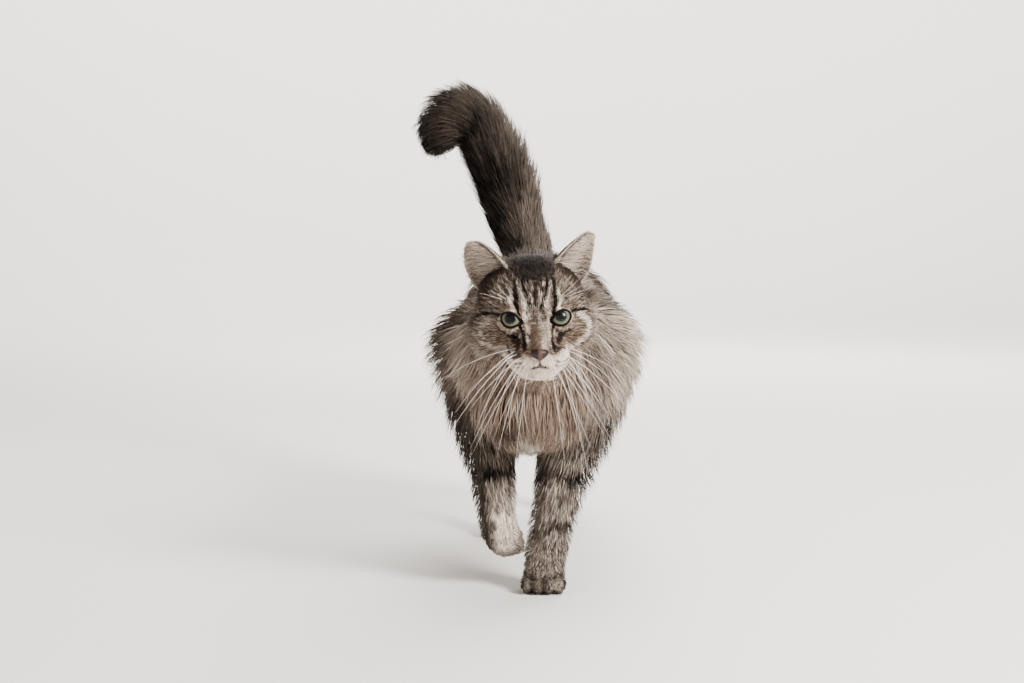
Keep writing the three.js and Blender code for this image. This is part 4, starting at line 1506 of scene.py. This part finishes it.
def floor_material(code):
    """Painted board: a plain pale matt studio floor, very slightly uneven in tone over half a metre."""
    material, tree, shader = new_material("plain_floor", Roughness=0.85, Specular_IOR_Level=0.1)
    place_in = node(tree, "ShaderNodeTexCoord")["Object"]
    cloud = node(tree, "ShaderNodeTexNoise", {"Vector": place_in, "Scale": 2.0, "Detail": 2.0})[0]
    tone = node(tree, "ShaderNodeMath", {0: cloud, 1: 0.12}, operation="MULTIPLY")[0]
    board = node(tree, "ShaderNodeMix", {0: tone, 6: code, 7: colour("#d8d2cb")}, data_type="RGBA")[2]
    tree.links.new(board, shader.inputs["Base Color"])
    return material


# --- pieces that stay separate ------------------------------------------------------------------------


def eyeball(side):
    """An eyeball whose clear front bulges, with each point's angle from the gaze."""
    ways, faces = primitive("primitive_uv_sphere_add", segments=96, ring_count=64)
    ahead = facing(side, *GAZE[side])
    level = unit(np.cross(ahead, [0, 0, 1]))
    upright = np.cross(level, ahead)
    turned = ways[:, :1] * level + ways[:, 1:2] * upright + ways[:, 2:] * ahead
    off = np.degrees(np.arccos(np.clip(ways[:, 2], -1, 1)))
    points = eye_middle(side) + turned * ball_radius(turned, side)[:, None]
    obj = mesh_of("eyeball_left" if side > 0 else "eyeball_right", from_head(points), faces)
    about = np.arctan2(ways[:, 1], ways[:, 0])
    write(obj, "gaze", np.column_stack([off, about * 3, np.zeros(len(off))]))
    return obj


NOSE = [
    [(0, -34.2, -17), (5, 4, 3.2)],
    [(0, -35.2, -20), (2.2, 2.8, 3.2)],
    [(3.8, -33.2, -17.8), (2.9, 3.4, 2.5)],
    [(-3.8, -33.2, -17.8), (2.9, 3.4, 2.5)],
]
NOSTRIL = [(1.9, -38.0, -18.9), (3.4, -37.2, -18.4), (4.9, -35.8, -17.9), (6.0, -34.2, -18.3)]


def nose_leather():
    """The bare tip of the nose, with comma-shaped nostrils and a groove down its middle."""
    ways, faces = primitive("primitive_ico_sphere_add", subdivisions=6)
    middle = np.array([0.0, -32.0, -18.0])
    points = wrap(ways, NOSE, middle, 1.5, 20, 0.0)
    inwards = unit(middle - points)
    shade = 0.35 + 0.65 * ease(0.6, 2.4, np.abs(points[:, 0]))
    for side in (1, -1):
        line = np.array(NOSTRIL) * [side, 1, 1]
        away = to_line(points, line)
        points = points + inwards * (1.5 * np.exp(-((away / 0.75) ** 2)))[:, None]
        # The nostrils are painted dark: partly their own dark rims, partly painted shade inside them.
        shade = np.maximum(shade, ease(1.5, 0.7, away) * 1.3)
    groove = np.exp(-((points[:, 0] / 0.35) ** 2)) * ease(-17.5, -19, points[:, 2])
    points = points + inwards * (0.5 * groove)[:, None]
    # The groove is painted darker: painted shade in it.
    shade = np.maximum(shade, groove * 0.8)
    obj = mesh_of("nose_leather", from_head(points), faces)
    write(obj, "shade", shade)
    return obj


def whisker(start, way, droop, length, thick):
    """A bent tapered hair from its root, in the cat's frame: points, faces and how far up each is."""
    share = np.linspace(0, 1, 9)[:, None]
    line = start + way * length * share + np.array([0, 0, -droop * length]) * share**2
    radius = thick * (1 - 0.82 * share[:, 0] ** 1.2) / 2
    points, faces = tube(line, radius, closed=False, sides=5)
    middle_points = np.vstack([points, line[:1], line[-1:]])
    sides, last = 5, len(points) - 5
    ends = []
    for k in range(sides):
        after = (k + 1) % sides
        ends.append((after, k, len(points), len(points)))
        ends.append((last + k, last + after, len(points) + 1, len(points) + 1))
    triangles = np.concatenate([faces[:, [0, 1, 2]], faces[:, [0, 2, 3]], np.array(ends)[:, :3]])
    return middle_points, triangles, np.concatenate([np.repeat(share[:, 0], sides), [0, 1]])


def whiskers(hide, seed):
    """Long white whiskers that sweep down and out from the pads, and shorter ones over the eyes."""
    rng = np.random.default_rng(seed)
    points, faces, shade, count = [], [], [], 0
    rows = []
    for side in (1, -1):
        for i in range(13):
            row, column = i % 4, i // 4
            out = side * (9.5 + 3.1 * column + rng.uniform(-0.5, 0.5))
            start = (out, -30 + 3.4 * column, -20 - 3.1 * row)
            fan = math.radians(-12 - 15 * row - 5 * (4 - column) + rng.uniform(-7, 7))
            out = math.radians(rng.uniform(8, 34))
            way = (
                side * math.cos(fan) * math.cos(out * 0.6),
                -math.sin(out) * 0.55 + 0.1 * column,
                math.sin(fan),
            )
            rows.append((start, way, rng.uniform(0.18, 0.45), rng.uniform(44, 78), rng.uniform(0.3, 0.44)))
        for i in range(4):
            start = (side * (17 + 2.5 * i), -4 + 1.5 * i, 15)
            way = (side * (0.35 + 0.18 * i), -0.45, 0.9 - 0.12 * i)
            rows.append((start, way, 0.05, rng.uniform(20, 32), 0.3))
    for start, way, droop, length, thick in rows:
        start = from_head(start)
        root = np.array(hide.tree.find_nearest(start)[0])
        way = unit(HEAD_TURN @ unit(way))
        made, tris, up = whisker(root - way * 0.8, way, droop, length, thick)
        points.append(made)
        faces.append(tris + count)
        shade.append(up)
        count += len(made)
    obj = mesh_of("whiskers", np.concatenate(points), np.concatenate(faces))
    write(obj, "shade", np.concatenate(shade))
    return obj


def ear_hair(name, hide, count, width, material, slot, seed):
    """Long pale hairs that cross the hollow of each ear from its inner edge, and rise from its base."""
    rng = np.random.default_rng(seed)
    roots, ways, ups, long = [], [], [], []
    each = count // 2
    for side in (1, -1):
        wall, hollow, u, _ = ear_grid(side)
        rows, columns = wall.shape[:2]
        medial = rng.random(each) < 0.66
        row = np.where(medial, rng.beta(1.0, 1.5, each) * 0.88 + 0.08, rng.beta(1.0, 2.2, each) * 0.7 + 0.06)
        row = row * (rows - 1)
        u_at = np.where(medial, -side * rng.uniform(-0.75, 0.95, each), rng.uniform(-0.9, 0.9, each))
        column = np.interp(u_at, u, np.arange(columns))
        i, j = row.astype(int), column.astype(int)
        root = wall[i, j] + hollow[i, j] * 0.6
        outwards = unit(wall[i, -1] - wall[i, 0]) * side
        upwards = unit(wall[np.minimum(i + 3, rows - 1), j] - wall[np.maximum(i - 3, 0), j])
        lean = rng.normal(0.2, 0.24, each)[:, None]
        way = np.where(medial[:, None], outwards + upwards * lean, upwards + outwards * 0.5)
        slope = np.where(medial, 0.65 + 0.35 * u_at * side, 0.5) + rng.uniform(-0.08, 0.15, each)
        way = unit(way + hollow[i, j] * slope[:, None])
        half = np.linalg.norm(wall[i, -1] - wall[i, 0], axis=1) / 2
        roots.append(root)
        ways.append(way)
        ups.append(hollow[i, j])
        room = 1.2 + 0.6 * u_at * -side
        long.append(half * rng.uniform(0.5, 1.0, each) * np.where(medial, room, 0.8))
    root, way, up, long = (np.concatenate(v) for v in (roots, ways, ups, long))
    share = np.linspace(0, 1, PLAIN["joints"])[None, :, None]
    bend = -up[:, None] * (0.12 * long[:, None, None] * share**2)
    path = root[:, None] + way[:, None] * long[:, None, None] * share + bend
    path = from_head(path.reshape(-1, 3)).reshape(path.shape)
    wide = width * rng.uniform(0.6, 1.3, count)
    obj, shape = lock_mesh(name, path, up @ HEAD_TURN.T, wide, rng)
    dark, pale = 0.55 * rng.random(count) ** 1.5, rng.uniform(0.45, 0.95, count)
    marking = np.column_stack([dark, np.full(count, 0.5), pale, np.zeros(count)])
    face = hide.settle(path[:, 0])[1]
    patch = patch_middles(hide, face, np.full((count, 3), 1 / 3))
    finish_locks(obj, shape, marking, rng.uniform(0.3, 1, count), patch)
    place(obj, material, slot)
    return obj


def paw_pads():
    """Bare pads: under each paw one broad pad, and a small one under each toe."""
    globe, triangles = primitive("primitive_ico_sphere_add", subdivisions=4)
    points, faces, shade = [], [], []
    for area, ((x, y, z, wide, *_), *toes) in PAWS.items():
        if area == "front_right":
            rows = [(x + 1, y + 5, z + 3.5, 7.0, 4.2, 4.6)]
            rows += [(tx, ty + 6.2, tz + 1.2, 2.7, 3.0, 3.2) for tx, ty, tz, *_ in toes]
        else:
            rows = [(x, y - 1, 2.3, wide * 0.6, 7.5, 2.1)]
            rows += [(tx, ty - 2.5, 2.1, 3.0, 4.2, 1.9) for tx, ty, *_ in toes]
        for *middle, a, b, c in rows:
            faces.append(triangles + len(points) * len(globe))
            points.append(globe * [a, b, c] + middle)
            shade.append(0.25 + 0.3 * globe[:, 2])
    obj = mesh_of("paw_pads", np.concatenate(points), np.concatenate(faces))
    write(obj, "shade", np.concatenate(shade))
    return obj


# --- what a user may change ---------------------------------------------------------------------------


def number(name, about, value, low, high, unit_name="NONE"):
    return bpy.props.FloatProperty(
        name=name, description=about, default=value, min=low, max=high, unit=unit_name
    )


def count_of(name, about, value):
    return bpy.props.IntProperty(name=name, description=about, default=value, min=100, max=20000)


def tint(name, about, code):
    return bpy.props.FloatVectorProperty(
        name=name, description=about, subtype="COLOR", size=4, min=0, max=1, default=colour(code)
    )


class CatSizes(bpy.types.PropertyGroup):
    """Sizes and densities of the skin and the coat"""

    skin_detail: number("Skin detail", "Size of the facets of the body's skin", 0.0026, 0.002, 0.01, "LENGTH")
    face_lock: number("Face lock width", "Width of a lock on the face", 0.0006, 0.0002, 0.003, "LENGTH")
    body_lock: number("Body lock width", "Width of a lock on the body", 0.0012, 0.0004, 0.005, "LENGTH")
    face_locks: count_of("Face locks", "Locks on the front of the face", 16500)
    crown_locks: count_of("Crown locks", "Locks on the crown and the cheeks", 12000)
    ear_locks: count_of("Ear locks", "Short locks on both ears", 7000)
    ear_hairs: count_of("Ear hairs", "Long pale hairs inside both ears", 2200)
    ruff_locks: count_of("Ruff locks", "Long locks round the neck", 11000)
    chest_locks: count_of("Chest locks", "Long locks on the chest", 9000)
    flank_locks: count_of("Flank locks", "Long locks on each side of the trunk", 6800)
    leg_locks: count_of("Leg locks", "Locks on each pair of legs", 10800)
    tail_locks: count_of("Tail locks", "Long locks on the tail", 10500)


class CatColours(bpy.types.PropertyGroup):
    """Colours of the coat and the bare parts"""

    grey: tint("Grey", "Ground colour of the coat", "#7d7064")
    warm: tint("Warm brown", "Warm ground of the chest and the cheeks", "#86634c")
    cream: tint("Cream", "Pale hair of the muzzle, the ears and the streaks", "#f0e2d2")
    charcoal: tint("Charcoal", "Stripes, crown and tail", "#0b0807")
    slate: tint("Slate", "Undercoat at the roots", "#2f2520")
    # Slate also stands for painted shade deep in the coat, at the roots of the locks.
    iris: tint("Iris", "Pale sage green of the eyes", "#5f6353")
    iris_inner: tint("Iris round the pupil", "Greener ring next to the pupil", "#3f4534")
    iris_edge: tint("Iris edge", "Dark rim of the iris", "#181c13")
    pupil: tint("Pupil", "Pupil and the edge of the eye", "#050505")
    nose: tint("Nose", "Brick pink nose leather", "#64443a")
    nose_dark: tint("Nostrils", "Dark edges of the nose leather", "#1a0c0a")
    pads: tint("Pads", "Dark pads under the paws", "#3a2c2a")
    whisker: tint("Whiskers", "White whiskers", "#f4f0ea")
    floor: tint("Floor", "Plain studio floor", "#e9e5e0")


def palette():
    colours = bpy.context.scene.cat_colours
    return {name: tuple(getattr(colours, name)) for name in CatColours.__annotations__}


def sizes():
    return bpy.context.scene.cat_sizes


def hide_of_cat():
    skin = bpy.data.objects.get("skin")
    if skin is None:
        raise RuntimeError("Make the skin before the coat")
    return Hide(skin)


def fur_named(name):
    """A kind of fur, made once: the body's, the paler kind of the face and chest, or the tail's."""
    # The first number darkens the roots: partly the undercoat, partly painted shade deep in the coat.
    kinds = {
        "tabby_fur": (0.55, 0.75),
        "pale_fur": (0.35, 0.7),
        "charcoal_fur": (0.2, 0.75),
        "tabby_hide": (0.0, 0.85),
    }
    return bpy.data.materials.get(name) or fur_material(name, palette(), *kinds[name])


# --- operators ----------------------------------------------------------------------------------------

FACE_BACK = 14  # where the face's fur ends and the crown's begins, behind the middle of the head
CHEST_BACK = 66  # where the chest's fur ends and the flanks' begins
SPINE_AT = -3  # between the flanks
SOLE_HEIGHT = 1.2  # no fur grows below this
EAR_HAIR_WIDTH = 0.45


class CAT_OT_skin(bpy.types.Operator):
    """Make the one skin that stands for all the pieces of flesh"""

    bl_idname = "cat.skin"
    bl_label = "Skin"

    def execute(self, context):
        skin = build_skin(sizes().skin_detail * 1000)
        place(skin, fur_named("tabby_hide"), "coat", *FLESH)
        return {"FINISHED"}


class CAT_OT_eyes(bpy.types.Operator):
    """Make the two wet eyeballs with their irises and pupils"""

    bl_idname = "cat.eyes"
    bl_label = "Eyes"

    def execute(self, context):
        material = eye_material(palette())
        for side, name in ((1, "eye_left"), (-1, "eye_right")):
            place(eyeball(side), material, "eye", name)
        return {"FINISHED"}


class CAT_OT_nose(bpy.types.Operator):
    """Make the nose leather"""

    bl_idname = "cat.nose"
    bl_label = "Nose"

    def execute(self, context):
        colours = palette()
        material = leather_material("nose_leather", colours["nose"], colours["nose_dark"], 0.3)
        place(nose_leather(), material, "nose", "nose")
        return {"FINISHED"}


class CAT_OT_pads(bpy.types.Operator):
    """Make the bare pads under the paws"""

    bl_idname = "cat.pads"
    bl_label = "Paw pads"

    def execute(self, context):
        colours = palette()
        material = leather_material("pad_leather", colours["pads"], colours["nose_dark"], 0.35)
        place(paw_pads(), material, "coat_dark")
        return {"FINISHED"}


class CAT_OT_face_coat(bpy.types.Operator):
    """Grow the short fur of the face, the crown and the cheeks"""

    bl_idname = "cat.face_coat"
    bl_label = "Face fur"

    def execute(self, context):
        hide = hide_of_cat()
        head = hide.area == AREAS.index("head")
        local = to_head(hide.points)
        edge = from_eyes(local)[0]
        bare = np.linalg.norm((local - [0, -35, -18]) / [7.5, 5.5, 4.5], axis=1) < 1
        furry = head * ease(0.9, 1.6, edge) * ~bare
        front = local[:, 1] < FACE_BACK
        dense = 1 + 1.6 * ease(44, 20, np.linalg.norm(local - NOSE_TIP, axis=1))
        sized = sizes()
        grow(
            "coat_face", hide, furry * front * dense, FACE, sized.face_locks, sized.face_lock * 1000,
            fur_named("pale_fur"), "coat", 11,
        )
        grow(
            "coat_crown", hide, furry * ~front, CROWN, sized.crown_locks, sized.face_lock * 1300,
            fur_named("tabby_fur"), "coat", 12,
        )
        return {"FINISHED"}


class CAT_OT_ear_coat(bpy.types.Operator):
    """Grow the short fur of the ears and the long pale hair inside them"""

    bl_idname = "cat.ear_coat"
    bl_label = "Ear fur"

    def execute(self, context):
        hide = hide_of_cat()
        ear = hide.area == AREAS.index("ear")
        u, up, inner = hide.ear_place.T
        rim = np.maximum(ease(0.85, 0.97, np.abs(u)), ease(0.9, 0.98, up))
        sized, fur = sizes(), fur_named("pale_fur")
        weight = ear * np.where(inner > 0, 0.35 + rim, 1.0)
        grow(
            "coat_ears", hide, weight, EAR, sized.ear_locks, sized.face_lock * 1000, fur, "coat_pale", 21
        )
        ear_hair("coat_ear_hair", hide, sized.ear_hairs, EAR_HAIR_WIDTH, fur, "coat_pale", 22)
        return {"FINISHED"}


class CAT_OT_ruff_coat(bpy.types.Operator):
    """Grow the long fur of the neck and the chest"""

    bl_idname = "cat.ruff_coat"
    bl_label = "Ruff and chest fur"

    def execute(self, context):
        hide = hide_of_cat()
        sized = sizes()
        neck = hide.area == AREAS.index("neck")
        grow(
            "coat_ruff", hide, neck.astype(float), RUFF, sized.ruff_locks, sized.body_lock * 1000,
            fur_named("tabby_fur"), "coat", 31,
        )
        chest = (hide.area == AREAS.index("trunk")) & (hide.points[:, 1] < CHEST_BACK)
        grow(
            "coat_chest", hide, chest.astype(float), RUFF, sized.chest_locks, sized.body_lock * 950,
            fur_named("pale_fur"), "coat_pale", 32,
        )
        return {"FINISHED"}


class CAT_OT_flank_coat(bpy.types.Operator):
    """Grow the long fur of the back, the flanks, the belly and the rump"""

    bl_idname = "cat.flank_coat"
    bl_label = "Trunk fur"

    def execute(self, context):
        hide = hide_of_cat()
        sized = sizes()
        behind = (hide.area == AREAS.index("trunk")) & (hide.points[:, 1] >= CHEST_BACK)
        left = hide.points[:, 0] > SPINE_AT
        for name, half, seed in (("coat_left_flank", left, 41), ("coat_right_flank", ~left, 42)):
            grow(
                name, hide, (behind & half).astype(float), FLANK, sized.flank_locks, sized.body_lock * 1300,
                fur_named("tabby_fur"), "coat", seed,
            )
        return {"FINISHED"}


class CAT_OT_leg_coat(bpy.types.Operator):
    """Grow the short fur of the legs and paws, longer towards the shoulders and thighs"""

    bl_idname = "cat.leg_coat"
    bl_label = "Leg fur"

    def execute(self, context):
        hide = hide_of_cat()
        sized = sizes()
        dense = 1 + 2.0 * ease(12, 5, hide.length)
        above_pads = hide.points[:, 2] > SOLE_HEIGHT
        for pair, seed in (("front", 51), ("hind", 52)):
            legs = np.isin(hide.area, [AREAS.index(pair + "_left"), AREAS.index(pair + "_right")])
            grow(
                "coat_" + pair + "_legs", hide, legs * dense * above_pads, LEG, sized.leg_locks,
                sized.body_lock * 800, fur_named("tabby_fur"), "coat", seed,
            )
        return {"FINISHED"}


class CAT_OT_tail_coat(bpy.types.Operator):
    """Grow the plume of the tail"""

    bl_idname = "cat.tail_coat"
    bl_label = "Tail fur"

    def execute(self, context):
        hide = hide_of_cat()
        tail = hide.area == AREAS.index("tail")
        sized = sizes()
        grow(
            "coat_tail", hide, tail.astype(float), PLUME, sized.tail_locks, sized.body_lock * 1000,
            fur_named("charcoal_fur"), "coat_dark", 61,
        )
        return {"FINISHED"}


class CAT_OT_whiskers(bpy.types.Operator):
    """Set the whiskers in their pads and over the eyes"""

    bl_idname = "cat.whiskers"
    bl_label = "Whiskers"

    def execute(self, context):
        place(whiskers(hide_of_cat(), 71), whisker_material(palette()), "coat_pale")
        return {"FINISHED"}


FLOOR_REACH = 3.2  # in metres, up to where the floor curves
FLOOR_CURVE = 1.8  # radius of the curve, in metres
FLOOR_STEPS = 12
WALL_HEIGHT = 1.2  # above the curve, in metres

# The lights: name, place, width and height in metres, watts and tone.
LIGHTS = (
    ("window_behind", (0.7, 2.2, 1.9), 2.2, 1.8, 140, (1.0, 0.99, 0.97)),
    ("key", (1.45, -1.25, 1.25), 0.6, 0.8, 115, (1.0, 0.975, 0.95)),
    ("fill", (-1.8, -1.4, 0.9), 1.4, 1.4, 3, (1.0, 0.98, 0.96)),
    ("top", (0.1, 0.1, 2.4), 1.4, 1.4, 44, (1.0, 0.99, 0.98)),
    ("wall", (0.0, 2.9, 2.6), 5.0, 1.2, 260, (1.0, 0.99, 0.98)),
)
CAT_TARGET = (0.0, -0.05, 0.2)  # where the lights on the cat look
WALL_TARGET = (0.0, 5.0, 1.2)
WORLD_STRENGTH = 0.42
CAMERA_AT = (25, -1223, 300)
CAMERA_DOWN, CAMERA_ASIDE = 3.88, 2.25  # degrees
CAMERA_LENS, CAMERA_SENSOR = 50, 36  # millimetres


def studio_floor():
    """A round floor whose edge curves up into a wall all round, so that no edge of it shows."""
    deselect()
    bpy.ops.mesh.primitive_circle_add(vertices=128, radius=FLOOR_REACH, fill_type="NOTHING")
    floor = bpy.context.object
    floor.name = "floor"
    bpy.ops.object.mode_set(mode="EDIT")
    bpy.ops.mesh.edge_face_add()
    bpy.ops.mesh.select_mode(type="EDGE")
    reach, height = FLOOR_REACH, 0.0
    for step in range(1, FLOOR_STEPS + 1):
        angle = math.pi / 2 * step / FLOOR_STEPS
        wider = FLOOR_REACH + FLOOR_CURVE * math.sin(angle)
        higher = FLOOR_CURVE * (1 - math.cos(angle))
        bpy.ops.mesh.extrude_edges_move(TRANSFORM_OT_translate={"value": (0, 0, higher - height)})
        bpy.ops.transform.resize(value=(wider / reach, wider / reach, 1), center_override=(0, 0, higher))
        reach, height = wider, higher
    bpy.ops.mesh.extrude_edges_move(TRANSFORM_OT_translate={"value": (0, 0, WALL_HEIGHT)})
    bpy.ops.mesh.select_all(action="SELECT")
    bpy.ops.mesh.normals_make_consistent(inside=True)
    bpy.ops.object.mode_set(mode="OBJECT")
    floor.data.shade_smooth()
    return floor


class CAT_OT_stage(bpy.types.Operator):
    """Set up the pale floor, the soft lights and the camera"""

    bl_idname = "cat.stage"
    bl_label = "Stage"

    def execute(self, context):
        floor = studio_floor()
        floor.data.materials.append(floor_material(palette()["floor"]))
        for name, at, wide, high, watts, tone in LIGHTS:
            data = bpy.data.lights.new(name, "AREA")
            data.shape = "RECTANGLE"
            data.size = wide
            data.size_y = high
            data.energy = watts
            data.color = tone
            light = bpy.data.objects.new(name, data)
            light.location = at
            target = Vector(WALL_TARGET if name == "wall" else CAT_TARGET)
            light.rotation_euler = (target - light.location).to_track_quat("-Z", "Y").to_euler()
            context.scene.collection.objects.link(light)
        world = bpy.data.worlds.new("studio")
        world.use_nodes = True
        world.node_tree.nodes["Background"].inputs["Color"].default_value = colour("#f4f2ef")
        world.node_tree.nodes["Background"].inputs["Strength"].default_value = WORLD_STRENGTH
        context.scene.world = world
        data = bpy.data.cameras.new("view")
        data.lens = CAMERA_LENS
        data.sensor_width = CAMERA_SENSOR
        camera = bpy.data.objects.new("view", data)
        camera.location = to_model(CAMERA_AT)
        camera.rotation_euler = (math.radians(90 - CAMERA_DOWN), 0, math.radians(CAMERA_ASIDE))
        context.scene.collection.objects.link(camera)
        context.scene.camera = camera
        return {"FINISHED"}


class CAT_PT_cat(bpy.types.Panel):
    """Lists the steps that dress the cat, and the sizes and colours that they use"""

    bl_label = "Cat"
    bl_idname = "CAT_PT_cat"
    bl_space_type = "VIEW_3D"
    bl_region_type = "UI"
    bl_category = "Cat"

    def draw(self, context):
        for step in STEPS:
            self.layout.operator(step.bl_idname)
        for group, owner in ((CatSizes, context.scene.cat_sizes), (CatColours, context.scene.cat_colours)):
            for name in group.__annotations__:
                self.layout.prop(owner, name)


STEPS = (
    CAT_OT_skin,
    CAT_OT_eyes,
    CAT_OT_nose,
    CAT_OT_pads,
    CAT_OT_face_coat,
    CAT_OT_ear_coat,
    CAT_OT_ruff_coat,
    CAT_OT_flank_coat,
    CAT_OT_leg_coat,
    CAT_OT_tail_coat,
    CAT_OT_whiskers,
    CAT_OT_stage,
)
CLASSES = (CatSizes, CatColours, *STEPS, CAT_PT_cat)


def register():
    for cls in CLASSES:
        bpy.utils.register_class(cls)
    bpy.types.Scene.cat_sizes = bpy.props.PointerProperty(type=CatSizes)
    bpy.types.Scene.cat_colours = bpy.props.PointerProperty(type=CatColours)


def unregister():
    del bpy.types.Scene.cat_colours
    del bpy.types.Scene.cat_sizes
    for cls in reversed(CLASSES):
        bpy.utils.unregister_class(cls)


def main():
    register()
    for step in STEPS:
        area, name = step.bl_idname.split(".")
        getattr(getattr(bpy.ops, area), name)()
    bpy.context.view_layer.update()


if __name__ == "__main__":
    main()
